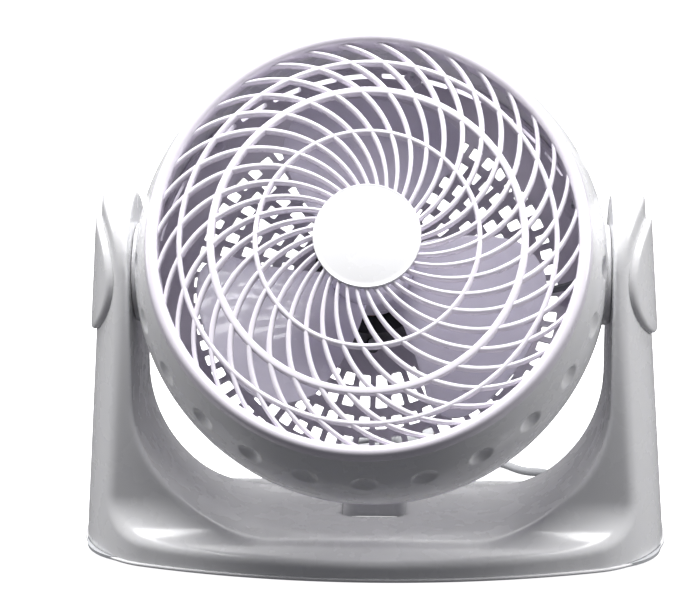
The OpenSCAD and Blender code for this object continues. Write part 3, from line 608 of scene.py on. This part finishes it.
def apply_modifiers(obj):
    depsgraph = bpy.context.evaluated_depsgraph_get()
    mesh = bpy.data.meshes.new_from_object(obj.evaluated_get(depsgraph))
    obj.modifiers.clear()
    old = obj.data
    obj.data = mesh
    bpy.data.meshes.remove(old)


def smooth_all(obj, angle):
    """Smooth shading, with edges sharper than angle kept."""
    mesh = obj.data
    mesh.polygons.foreach_set("use_smooth", [True] * len(mesh.polygons))
    mesh.set_sharp_from_angle(angle=math.radians(angle))


def build_stand_bead():
    """The small lip that runs round the foot of the stand."""
    outline = plan_outline()
    section = rounded_loop(2.6, 2.0, 0.8)
    path = np.array(outline)
    ahead, behind = np.roll(path, -1, 0), np.roll(path, 1, 0)
    along = ahead - behind
    along /= np.linalg.norm(along, axis=1)[:, None]
    out = np.stack([along[:, 1], -along[:, 0]], 1)
    loops = []
    for p, n in zip(path, out):
        across, up = section[:, 0] - 0.1, section[:, 1]
        loops.append(np.stack([p[0] + n[0] * across, p[1] + n[1] * across, FOOT_H + 1.0 + up], 1))
    points, faces = sweep(path, loops, closed=True)
    bead = add_mesh("stand_bead", to_stand(points), faces, white, "stand")
    return bead


def plan_outline(steps=480):
    """Points of the stand's outline on the floor, anticlockwise, found along rays from inside it."""
    outline = []
    for k in range(steps):
        a = k * TAU / steps
        d = np.array([math.cos(a) * 1.8, math.sin(a)])
        low, high = 0.0, 200.0
        for _ in range(40):
            mid = (low + high) / 2
            inside = plan_distance(d[0] * mid, d[1] * mid) < 0
            low, high = (mid, high) if inside else (low, mid)
        outline.append(d * low)
    return outline


stand_form = build_stand()
stand_bead = build_stand_bead()
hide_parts("stand_shell")


def build_pivot_cap(side):
    """A disc that follows the arm's side, with a rounded rim and a spigot in the arm's opening."""
    def surface_x(y, z, out):
        low, high = 120.0, 200.0
        for _ in range(32):
            mid = (low + high) / 2
            low, high = (mid, high) if envelope_distance(mid, y, z) < out else (low, mid)
        return low

    rim_r = 2.2
    steps = 144
    stations = [(0.001, CAP_OUT)] + [(r, CAP_OUT) for r in np.linspace(4, CAP_R - rim_r, 9)]
    stations += [(CAP_R - rim_r + rim_r * math.sin(a), CAP_OUT - rim_r + rim_r * math.cos(a))
                 for a in np.radians(np.linspace(15, 90, 6))]
    stations += [(CAP_R, 0.1), (CAP_HOLE_R - 0.2, 0.1), (CAP_HOLE_R - 0.2, -5.5), (CAP_HOLE_R - 2.2, -5.5),
                 (CAP_HOLE_R - 2.2, CAP_OUT - 2.2), (0.001, CAP_OUT - 2.2)]
    points = []
    for r, out in stations:
        for k in range(steps):
            y, z = r * math.cos(k * TAU / steps), AXIS_Z + r * math.sin(k * TAU / steps)
            points.append((side * surface_x(y, z, out), y, z))
    faces = grid_faces(len(stations), steps, flip=side < 0)
    name = "left_cap_dressed" if side < 0 else "right_cap_dressed"
    cap = add_mesh(name, to_stand(points), faces, white, "stand", angle=40)
    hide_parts("left_pivot_cap" if side < 0 else "right_pivot_cap")
    return cap


for side in (-1, 1):
    build_pivot_cap(side)


# ---------------------------------------------------------------- drum
DRUM_R = 140.3
DRUM_PEAK = 12
BULGE_R = 119.5
DRUM_WALL = 4
DRUM_FRONT = 64
DRUM_REAR = 8
DIMPLES = 25
DIMPLE_R = 12
DIMPLE_DEPTH = 2.8
DIMPLE_AT = 41
BOSS_R = 30
BOSS_X = DRUM_R + 0.9
SPIGOT_R = 10
SPIGOT_END = 144.9
SPIGOT_BORE = 4


def bulge_at(l, inset=0.0):
    return DRUM_R - BULGE_R + math.sqrt((BULGE_R - inset) ** 2 - (l - DRUM_PEAK) ** 2)


def solid_of_revolution(profile, steps=128):
    """A closed solid from a profile of (radius, height) that starts and ends on the axis, its base first."""
    inner = np.asarray(profile[1:-1], float)
    turns = np.arange(steps) * TAU / steps
    points = [[r * math.cos(t), r * math.sin(t), h] for r, h in inner for t in turns]
    faces = grid_faces(len(inner), steps)
    base, tip = len(points), len(points) + 1
    points += [[0, 0, profile[0][1]], [0, 0, profile[-1][1]]]
    last = (len(inner) - 1) * steps
    faces += [[base, (k + 1) % steps, k] for k in range(steps)]
    faces += [[tip, last + k, last + (k + 1) % steps] for k in range(steps)]
    return np.array(points), faces


def sideways(part, side):
    """Turns a solid so that its height runs outwards along the tilt axis."""
    points, faces = part
    turned_points = np.stack([side * points[:, 2], points[:, 1], -side * points[:, 0]], 1)
    return turned_points, faces


def rounded_disc(r, low, high, edge, n=5):
    """Profile of a disc with a rounded upper edge."""
    return ([(0, low), (r, low)] + [(r - edge + edge * math.cos(a), high - edge + edge * math.sin(a))
                                    for a in np.linspace(0, math.pi / 2, n)] + [(0, high)])


def build_drum():
    steps = DIMPLES * 36
    turns = np.arange(steps) * TAU / steps
    pitch = TAU / DIMPLES
    off = (turns + math.pi / 2 + pitch / 2) % pitch - pitch / 2
    levels = np.concatenate([np.linspace(-DRUM_REAR, 32, 14)[:-1],
                             np.linspace(32, 50, 34)[:-1],
                             np.linspace(50, DRUM_FRONT, 5)])
    rim_r = math.sqrt(DIMPLE_R ** 2 - (DIMPLE_R - DIMPLE_DEPTH) ** 2)
    rows = []
    for l in levels:
        r = bulge_at(l)
        away = np.hypot(off * r, l - DIMPLE_AT)
        bowl = np.sqrt(np.maximum(DIMPLE_R ** 2 - away ** 2, 0)) - (DIMPLE_R - DIMPLE_DEPTH)
        bowl = np.where(away < rim_r + 1, np.maximum(bowl, 0), 0)
        bowl = np.sqrt(bowl ** 2 + 0.04) - 0.2
        rows.append(np.stack([(r - bowl) * np.cos(turns), (r - bowl) * np.sin(turns), np.full(steps, l)], 1))
    for l in np.linspace(DRUM_FRONT, -DRUM_REAR, 16):
        r = bulge_at(l, DRUM_WALL)
        rows.append(np.stack([r * np.cos(turns), r * np.sin(turns), np.full(steps, l)], 1))
    faces = grid_faces(len(rows), steps, wrap_rows=True)
    drum = add_mesh("drum_form", to_head(np.concatenate(rows)), faces, white, None)

    inside = solid_of_revolution(
        [(0, -DRUM_REAR - 14)]
        + [(bulge_at(l, DRUM_WALL - 0.3), l) for l in np.linspace(-DRUM_REAR - 14, DRUM_FRONT + 2, 24)]
        + [(0, DRUM_FRONT + 2)], 256)
    below = [(-180, -180), (180, -180), (180, 180), (-180, 180)]
    behind = (np.array([[x, y, l] for l in (-60, -DRUM_REAR) for x, y in below]),
              [[3, 2, 1, 0], [4, 5, 6, 7], [0, 1, 5, 4], [1, 2, 6, 5], [2, 3, 7, 6], [3, 0, 4, 7]])
    for side in (-1, 1):
        boss = add_mesh("boss", to_head(sideways(solid_of_revolution(
            rounded_disc(BOSS_R, 110, BOSS_X, 1.6), 160), side)[0]),
            sideways(solid_of_revolution(rounded_disc(BOSS_R, 110, BOSS_X, 1.6), 160), side)[1], white, None)
        for part in (inside, behind):
            combine(boss, add_mesh("tool", to_head(part[0]), part[1], white, None), "DIFFERENCE")
        combine(drum, boss, "UNION")
        spigot = sideways(solid_of_revolution(rounded_disc(SPIGOT_R, 134, SPIGOT_END, 0.5), 96), side)
        combine(drum, add_mesh("tool", to_head(spigot[0]), spigot[1], white, None), "UNION")
        bore_profile = [(0, 120), (SPIGOT_BORE, 120), (SPIGOT_BORE, 150), (0, 150)]
        bore = sideways(solid_of_revolution(bore_profile, 48), side)
        combine(drum, add_mesh("tool", to_head(bore[0]), bore[1], white, None), "DIFFERENCE")
    smooth_all(drum, 42)
    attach(drum, "head")
    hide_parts("drum_housing")
    return drum


drum_form = build_drum()


# ---------------------------------------------------------------- front grille and hub cap
OPEN_R = 120.2
NOSE_R = 3.6
RIBS = 36
RIB_D = 6
RINGS = ((64, 2.9), (89.6, 4.4), (107.8, 3.0))
GRILLE_TOP = DRUM_FRONT + 5
HUB_R = 30.9
HUB_OUT = 5
CREST = 3
RIB_ARC_R = 0.558 * OPEN_R
RIB_ARC_AT = 0.5327 * OPEN_R
RIB_START = 82


def grille_front(r):
    """How far forward the grille's face stands at a radius."""
    return float(np.interp(r, [HUB_R + 1, RINGS[1][0], OPEN_R + 1],
                           [GRILLE_TOP + HUB_OUT, GRILLE_TOP + CREST, GRILLE_TOP]))


def rib_angle(r):
    cosine = (r * r + RIB_ARC_AT ** 2 - RIB_ARC_R ** 2) / (2 * r * RIB_ARC_AT)
    return math.radians(RIB_START) - math.acos(cosine)


def rib_part(turn):
    """One curved rib: rounded in front, a little wider in the middle of its run, and fine at the rim."""
    radii = np.linspace(HUB_R - 4, OPEN_R + 1.2, 46)
    angles = np.array([rib_angle(r) for r in radii]) + turn
    plan = np.stack([radii * np.cos(angles), radii * np.sin(angles)], 1)
    along = np.gradient(plan, axis=0)
    along /= np.linalg.norm(along, axis=1)[:, None]
    across = np.stack([-along[:, 1], along[:, 0]], 1)
    sections = []
    for p, n, r in zip(plan, across, radii):
        width = float(np.interp(r, [HUB_R, 60, 100, OPEN_R], [2.3, 2.9, 3.3, 2.5]))
        top = grille_front(r)
        depth = RIB_D - 0.3
        side = []
        for k in range(9):
            a = math.pi * k / 8
            side.append((width / 2 * math.cos(a), top - 1.7 + 1.7 * math.sin(a)))
        side += [(-width * 0.42, top - depth + 0.4), (-width * 0.3, top - depth), (width * 0.3, top - depth),
                 (width * 0.42, top - depth + 0.4)]
        sections.append(np.array([[p[0] + n[0] * u, p[1] + n[1] * u, l] for u, l in side]))
    points, faces = sweep(plan, sections)
    return points, [f[::-1] for f in faces]


def ring_profile(r, width, front, depth, edge):
    loop = rounded_loop(width, depth, edge, 5)
    return [(r + u, front - depth / 2 + v) for u, v in loop]


def build_front_grille():
    outer = bulge_at(DRUM_FRONT)
    lip = bulge_at(DRUM_FRONT, DRUM_WALL + 0.1)
    nose_l = DRUM_FRONT + 4.5
    rim = [(lip, DRUM_FRONT - 4), (lip, DRUM_FRONT), (outer - 0.2, DRUM_FRONT), (outer, DRUM_FRONT + 0.3),
           (outer - 0.15, DRUM_FRONT + 1.6)]
    rim += arc(OPEN_R + NOSE_R, nose_l, NOSE_R, 12, 180, 14)
    rim += [(OPEN_R, DRUM_FRONT + 1), (OPEN_R, DRUM_FRONT - 3.6), (OPEN_R + 0.4, DRUM_FRONT - 4)]
    parts = [lathe(rim, 360)]
    for r, width in RINGS:
        parts.append(lathe(ring_profile(r, width, grille_front(r) + 0.15, RIB_D, 1.4), 256))
    points, faces = join(parts)
    grille = add_mesh("front_grille_form", to_head(points), faces, grille_white_lilac_shade, None)
    points, faces = join([rib_part(k * TAU / RIBS) for k in range(RIBS)])
    combine(grille, add_mesh("ribs", to_head(points), faces, grille_white_lilac_shade, None), "UNION")
    back = GRILLE_TOP + HUB_OUT - RIB_D
    disc = solid_of_revolution([(0, back), (HUB_R - 1.5, back), (HUB_R - 1, back + 0.5),
                                (HUB_R - 1, back + RIB_D - 1), (0, back + RIB_D - 1)], 160)
    combine(grille, add_mesh("disc", to_head(disc[0]), disc[1], grille_white_lilac_shade, None), "UNION")
    smooth_all(grille, 40)
    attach(grille, "head")
    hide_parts("front_grille")
    return grille


build_front_grille()


def build_hub_cap():
    seat = GRILLE_TOP + HUB_OUT
    dome_r = (HUB_R ** 2 + 2.2 ** 2) / 4.4
    profile = [(0, seat - 1), (HUB_R - 2.5, seat - 1), (HUB_R - 2.5, seat), (HUB_R - 0.3, seat),
               (HUB_R, seat + 0.3)]
    profile += arc(HUB_R - 0.7, seat + 0.75, 0.7, 0, 75, 5)
    for r in np.linspace(HUB_R - 1.2, 2, 14):
        profile.append((r, seat + 3.2 - dome_r + math.sqrt(dome_r ** 2 - r * r)))
    profile.append((0, seat + 3.2))
    part = solid_of_revolution(profile, 200)
    cap = add_mesh("hub_cap_form", to_head(part[0]), part[1], white, "head", angle=35)
    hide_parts("hub_cap")


build_hub_cap()


# ---------------------------------------------------------------- rear grille
REAR_WALL = 2.5
SHOULDER_R = 34
PLATE_L = -(DRUM_REAR + SHOULDER_R)
REAR_R = bulge_at(-DRUM_REAR)
EAR_H = 5
SLOT_ROWS = ((36, 53, 61, 3.4), (44, 66, 74, 3.4), (52, 79, 87, 3.4), (60, 92, 100, 3.4),
             (68, 105, 112.5, 3.4))


def rounded_cell(r0, r1, half_angle0, half_angle1, round_r):
    """A slot's outline: an arc sector with rounded corners, as plan points about the x axis."""
    corners = [(r0, -half_angle0), (r1, -half_angle1), (r1, half_angle1), (r0, half_angle0)]
    flat = [np.array([r * math.cos(a), r * math.sin(a)]) for r, a in corners]
    out = []
    for i, p in enumerate(flat):
        before, after = flat[i - 1], flat[(i + 1) % 4]
        u = (before - p) / np.linalg.norm(before - p)
        v = (after - p) / np.linalg.norm(after - p)
        reach = min(round_r, np.linalg.norm(before - p) / 2.05, np.linalg.norm(after - p) / 2.05)
        for t in np.linspace(0, 1, 4):
            out.append(p + u * reach * (1 - t) ** 2 + v * reach * t ** 2)
    return out


def prism(outline, low, high):
    count = len(outline)
    points = [[x, y, l] for l in (low, high) for x, y in outline]
    faces = grid_faces(2, count) + [list(range(count))[::-1], list(range(count, 2 * count))]
    return np.array(points), faces


def build_rear_grille():
    lip_r = REAR_R - DRUM_WALL - 0.1
    centre = (REAR_R - SHOULDER_R, -DRUM_REAR)
    section = [(6.0, PLATE_L)] + [(r, PLATE_L) for r in (30, 60, 90)]
    section += arc(*centre, SHOULDER_R, -90, 0, 14)
    section += [(lip_r, -DRUM_REAR), (lip_r, EAR_H - 1 - DRUM_REAR), (lip_r - 2, EAR_H - 1 - DRUM_REAR),
                (lip_r - 2, -DRUM_REAR - 2.5)]
    section += arc(*centre, SHOULDER_R - REAR_WALL, -4.6, -90, 14)
    section += [(r, PLATE_L + REAR_WALL) for r in (90, 60, 30)] + [(6.0, PLATE_L + REAR_WALL)]
    points, faces = lathe(section, 360)
    cage = add_mesh("rear_grille_form", to_head(points), faces, cage_painted_shade, None)
    cuts = []
    for count, r0, r1, bar in SLOT_ROWS:
        pitch = TAU / count
        cell = rounded_cell(r0, r1, pitch / 2 - bar / 2 / r0, pitch / 2 - bar / 2 / r1, 1.2)
        for i in range(count):
            cuts.append(turned(prism(cell, PLATE_L - 8, PLATE_L + 14), i * pitch + pitch / 2))
    for i in range(36):
        loop = rounded_loop(9.2, 18.8, 1.5, 3)
        ring = [[REAR_R - 7 + step, v, -DRUM_REAR - 8.1 + u] for step in (0, 16) for u, v in loop]
        count = len(loop)
        ends = [list(range(count))[::-1], list(range(count, 2 * count))]
        box = (np.array(ring), grid_faces(2, count) + ends)
        cuts.append(turned(box, math.radians(i * 10 + 5)))
    points, faces = join(cuts)
    tool = add_mesh("slots", to_head(points), faces, cage_painted_shade, None)
    make_outward(tool)
    combine(cage, tool, "DIFFERENCE")
    ears = []
    for i in range(6):
        a = math.radians(20 + 60 * i)
        ear = solid_of_revolution([(0, -DRUM_REAR - 3), (5.5, -DRUM_REAR - 3), (5.5, EAR_H - 0.5 - DRUM_REAR),
                                   (5.0, EAR_H - DRUM_REAR), (0, EAR_H - DRUM_REAR)], 40)
        place = np.array([(REAR_R - 10.5) * math.cos(a), (REAR_R - 10.5) * math.sin(a), 0])
        ears.append((ear[0] + place, ear[1]))
    points, faces = join(ears)
    combine(cage, add_mesh("ears", to_head(points), faces, cage_painted_shade, None), "UNION")
    smooth_all(cage, 40)
    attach(cage, "head")
    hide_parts("rear_grille")
    return cage


def make_outward(obj):
    """Turns every closed part of a mesh so that its faces look outwards."""
    work = bmesh.new()
    work.from_mesh(obj.data)
    bmesh.ops.recalc_face_normals(work, faces=work.faces)
    work.to_mesh(obj.data)
    work.free()


build_rear_grille()


# ---------------------------------------------------------------- impeller
IMPELLER_R = 106
IMPELLER_HUB_R = 26
BLADES = 3
BLADE_T = 2
BLADE_L = 13.5
BLADE_RISE = 26
BLADE_LAG = -21.2
BLADE_FROM = -16.7
HUB_L0 = -2
HUB_L1 = 25
SHAFT_R = 4


def blade_point(r, u):
    angle = BLADE_LAG * (r - IMPELLER_HUB_R) / IMPELLER_R + (87 - 0.13 * r) * (u - 0.5)
    height = BLADE_L + BLADE_RISE * (0.62 + 0.38 * r / IMPELLER_R) * (u - 0.5) * (1 - 0.25 * (u - 0.5))
    a = math.radians(angle)
    return np.array([r * math.cos(a), r * math.sin(a), height])


def blade_part(turn):
    """A swept blade with rounded corners and thin rounded edges."""
    rows, cols = ((36, 48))
    shares = 0.5 - 0.5 * np.cos(np.linspace(0.02, math.pi - 0.02, cols))
    mid = np.zeros((rows, cols, 3))
    for j, u in enumerate(shares):
        reach = IMPELLER_R - 20 * abs(2 * u - 1) ** 7
        for i in range(rows):
            v = math.sin(i / (rows - 1) * math.pi / 2)
            mid[i, j] = blade_point(IMPELLER_HUB_R - 1.2 + (reach - IMPELLER_HUB_R + 1.2) * v, u)
    normal = np.cross(np.gradient(mid, axis=0), np.gradient(mid, axis=1))
    normal /= np.linalg.norm(normal, axis=2)[:, :, None]
    normal *= np.sign(normal[:, :, 2:3])
    edge_u = np.sqrt(np.clip(1 - np.abs(2 * shares - 1) ** 10, 0.02, 1))
    edge_v = np.sqrt(np.clip(1 - np.linspace(0, 1, rows) ** 24, 0.03, 1))
    half = BLADE_T / 2 * 0.95 * edge_v[:, None, None] * edge_u[None, :, None]
    top, low = mid + normal * half, mid - normal * half
    points = np.concatenate([top.reshape(-1, 3), low.reshape(-1, 3)])
    size = rows * cols
    faces = []
    for i in range(rows - 1):
        for j in range(cols - 1):
            a, b = i * cols + j, (i + 1) * cols + j
            faces.append([a, b, b + 1, a + 1])
            faces.append([a + size, a + 1 + size, b + 1 + size, b + size])
    border = ([(0, j) for j in range(cols)] + [(i, cols - 1) for i in range(1, rows)]
              + [(rows - 1, j) for j in range(cols - 2, -1, -1)] + [(i, 0) for i in range(rows - 2, 0, -1)])
    loop = [i * cols + j for i, j in border]
    for k in range(len(loop)):
        a, b = loop[k], loop[(k + 1) % len(loop)]
        faces.append([a, b, b + size, a + size])
    return turned((points, faces), math.radians(turn))


def build_impeller():
    profile = [(0, HUB_L0), (IMPELLER_HUB_R - 0.6, HUB_L0), (IMPELLER_HUB_R, HUB_L0 + 0.6)]
    profile += [(IMPELLER_HUB_R, HUB_L1 - 5)] + arc(IMPELLER_HUB_R - 5, HUB_L1 - 5, 5, 10, 90, 8)
    profile += [(IMPELLER_HUB_R - 8, HUB_L1), (0, HUB_L1)]
    hub = solid_of_revolution(profile, 160)
    fan = add_mesh("impeller_form", to_head(hub[0]), hub[1], blade_lilac, None)
    for i in range(BLADES):
        part = blade_part(BLADE_FROM + i * 360 / BLADES)
        blade = add_mesh("blade", to_head(part[0]), part[1], blade_lilac, None)
        make_outward(blade)
        combine(fan, blade, "UNION")
    hollow = lathe([(8, HUB_L0 - 1), (IMPELLER_HUB_R - 2.5, HUB_L0 - 1),
                    (IMPELLER_HUB_R - 2.5, HUB_L1 - 4), (8, HUB_L1 - 4)], 120)
    bore = solid_of_revolution([(0, HUB_L0 - 2), (SHAFT_R, HUB_L0 - 2),
                                (SHAFT_R, HUB_L1 + 2), (0, HUB_L1 + 2)], 64)
    for part in (hollow, bore):
        tool = add_mesh("tool", to_head(part[0]), part[1], blade_lilac, None)
        make_outward(tool)
        combine(fan, tool, "DIFFERENCE")
    smooth_all(fan, 38)
    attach(fan, "rotor")
    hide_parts("impeller")
    return fan


impeller_form = build_impeller()


# ---------------------------------------------------------------- switch housing and knob
HOUSING_R = 46
HOUSING_BACK = PLATE_L - 20
HOUSING_T = 2
SWITCH_BUSH_R = 5
COVER_SCREW_R = 38
KNOB_R = 17
KNOB_BASE = HOUSING_BACK - 0.4


def build_switch_housing():
    outer = [(SWITCH_BUSH_R + 0.05, HOUSING_BACK)] + [(HOUSING_R - 6, HOUSING_BACK)]
    outer += [(HOUSING_R - 6 + 6 * math.sin(a) * 0.98, HOUSING_BACK + 4 - 4 * math.cos(a))
              for a in np.radians([15, 30, 45, 60, 75])]
    outer += [(HOUSING_R - 0.02, HOUSING_BACK + 4.2), (HOUSING_R, PLATE_L - 0.4), (HOUSING_R - 0.4, PLATE_L),
              (HOUSING_R - 3, PLATE_L), (HOUSING_R - 3, HOUSING_BACK + 4.5),
              (HOUSING_R - 5.5, HOUSING_BACK + HOUSING_T),
              (SWITCH_BUSH_R + 0.05, HOUSING_BACK + HOUSING_T)]
    points, faces = lathe(outer, 200)
    cover = add_mesh("switch_housing_form", to_head(points), faces, white, None)
    for i in range(3):
        a = math.radians(90 + 120 * i)
        place = np.array([COVER_SCREW_R * math.cos(a), COVER_SCREW_R * math.sin(a), 0])
        post = solid_of_revolution([(0, HOUSING_BACK + 1), (4, HOUSING_BACK + 1),
                                    (4, PLATE_L), (0, PLATE_L)], 48)
        well = solid_of_revolution([(0, HOUSING_BACK - 1), (2.9, HOUSING_BACK - 1), (2.9, HOUSING_BACK + 4),
                                    (1.4, HOUSING_BACK + 4), (1.4, PLATE_L + 1), (0, PLATE_L + 1)], 48)
        for part, operation in ((post, "UNION"), (well, "DIFFERENCE")):
            combine(cover, add_mesh("tool", to_head(part[0] + place), part[1], white, None), operation)
    smooth_all(cover, 40)
    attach(cover, "head")
    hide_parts("switch_housing")


def knob_distance(p):
    x, y, l = p[..., 0], p[..., 1], p[..., 2]
    r = np.hypot(x, y)
    flutes = 0.35 * np.cos(30 * np.arctan2(y, x))
    lean = 0.115 * (KNOB_BASE - l)
    round_body = both(r - KNOB_R + lean + 0.35 + flutes * np.clip((r - 12) / 4, 0, 1),
                      np.abs(l - KNOB_BASE + 6.5) - 6.5, 1.2)
    skirt = l * -1 + (KNOB_BASE - 5.8)
    bar = np.abs(x) - 5.9
    shape = both(round_body, either(skirt, bar, 1.6), 0.9)
    recess = both(r - SWITCH_BUSH_R - 2, KNOB_BASE - 3 - l, 0.3)
    return np.maximum(shape, -recess)


def build_knob():
    low, high = (-18.5, -18.5, KNOB_BASE - 14.5), (18.5, 18.5, KNOB_BASE + 1.5)
    points, quads = mesh_from_distance(knob_distance, low, high, 0.5, 3)
    knob = add_mesh("knob_form", to_head(points), quads, knob_white, None)
    if mesh_volume(knob.data) < 0:
        knob.data.flip_normals()
    stem = solid_of_revolution([(0, KNOB_BASE - 5), (3, KNOB_BASE - 5), (3, KNOB_BASE + 4.6),
                                (2.6, KNOB_BASE + 5), (0, KNOB_BASE + 5)], 48)
    combine(knob, add_mesh("tool", to_head(stem[0]), stem[1], knob_white, None), "UNION")
    mark = prism([(-0.6, 2), (0.6, 2), (0.6, 14.6), (-0.6, 14.6)], KNOB_BASE - 14, KNOB_BASE - 12.5)
    combine(knob, add_mesh("tool", to_head(mark[0]), mark[1], knob_white, None), "DIFFERENCE")
    smooth_all(knob, 38)
    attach(knob, "knob")
    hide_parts("speed_knob")


build_switch_housing()
build_knob()


# ---------------------------------------------------------------- strain relief, plug and tie
def along_y(part, place):
    """Turns a solid so that its height runs backwards from a place in the stand's frame."""
    points, faces = part
    return np.stack([points[:, 0], points[:, 2], -points[:, 1]], 1) + np.array(place), faces


def build_strain_relief():
    length = RELIEF_END - RELIEF_AT[1]
    profile = [(0, -6), (3.9, -6), (4.2, -5.6), (4.2, 0.3), (5.8, 0.3), (6.15, 0.7), (6.15, 2.5),
               (5.8, 2.95), (4.95, 3.0)]
    ridges = 7
    for k in range(ridges):
        start = 4.0 + k * (length - 6) / ridges
        pitch = (length - 6) / ridges
        for share, groove in ((0.0, 0), (0.12, 0.55), (0.3, 0.6), (0.42, 0), (0.9, 0)):
            l = start + pitch * share
            r = 5 + (CORD_D / 2 + 0.7 - 5) * (l - 3) / (length - 3)
            profile.append((max(r - groove, CORD_D / 2 + 0.12), l))
    profile += [(CORD_D / 2 + 0.6, length - 0.5), (CORD_D / 2 + 0.2, length), (0, length)]
    part = along_y(solid_of_revolution(profile, 64), RELIEF_AT)
    relief = add_mesh("strain_relief_form", to_stand(part[0]), part[1], cord_pvc, "stand", angle=35)
    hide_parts("strain_relief")


def plug_distance(p):
    x, y, z = p[..., 0] - PLUG_AT[0], p[..., 1] - PLUG_AT[1], p[..., 2] - PLUG_AT[2]
    body = np.hypot(np.maximum(np.abs(y) - 4.5, 0), z) - 7.9
    waist = 1.5 * np.exp(-((x - 24) / 6) ** 2) * (np.abs(y) > 0)
    body = both(body + waist * np.clip(np.abs(y) / 8, 0, 1), np.abs(x - 26) - 12, 2.0)
    neck_r = CORD_D / 2 + 0.7 + (5.9 - CORD_D / 2 - 0.7) * np.clip(x / 14, 0, 1)
    grooves = 0.35 * (np.cos((x - 1) * TAU / 2.6) > 0.3) * (x < 12)
    neck = np.maximum(np.hypot(y, z) - neck_r + grooves, np.abs(x - 8) - 7.9)
    return either(body, neck, 2.0)


def build_plug():
    low = (PLUG_AT[0] - 1.5, PLUG_AT[1] - 15, PLUG_AT[2] - 10)
    high = (PLUG_AT[0] + 40, PLUG_AT[1] + 15, PLUG_AT[2] + 10)
    points, quads = mesh_from_distance(plug_distance, low, high, 0.6, 3)
    plug = add_mesh("plug_form", to_stand(points), quads, cord_pvc, None)
    if mesh_volume(plug.data) < 0:
        plug.data.flip_normals()
    smooth_all(plug, 45)
    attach(plug, "stand")
    return plug


def build_tie():
    """A flat tie round the coil's turns, open below, with rounded corners."""
    half, high, t = COIL_WIDE * CORD_D / 2 + 0.9, COIL_TOP + 0.65, 1.1
    path = [(-half, t / 2)]
    bend = np.linspace(0, math.pi / 2, 7)
    path += [(-half + 2 - 2 * math.cos(a), high - 2 + 2 * math.sin(a)) for a in bend]
    path += [(half - 2 + 2 * math.sin(a), high - 2 + 2 * math.cos(a)) for a in bend]
    path += [(half, t / 2)]
    path = np.array(path)
    ahead = np.gradient(path, axis=0)
    ahead /= np.linalg.norm(ahead, axis=1)[:, None]
    out = np.stack([-ahead[:, 1], ahead[:, 0]], 1)
    loop = rounded_loop(5.8, t, 0.4, 3)
    centre_y = COIL_AT[1] + COIL_MID_R
    sections = [np.array([[u, centre_y + p[0] + n[0] * v, p[1] + n[1] * v] for u, v in loop])
                for p, n in zip(path, out)]
    points, faces = sweep(path, sections)
    tie = add_mesh("cord_tie_form", to_stand(points), faces, tie_nylon, None)
    make_outward(tie)
    smooth_all(tie, 40)
    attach(tie, "stand")
    return tie


build_strain_relief()
plug_form = build_plug()
tie_form = build_tie()
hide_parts("plug_body")
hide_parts("cord_tie")
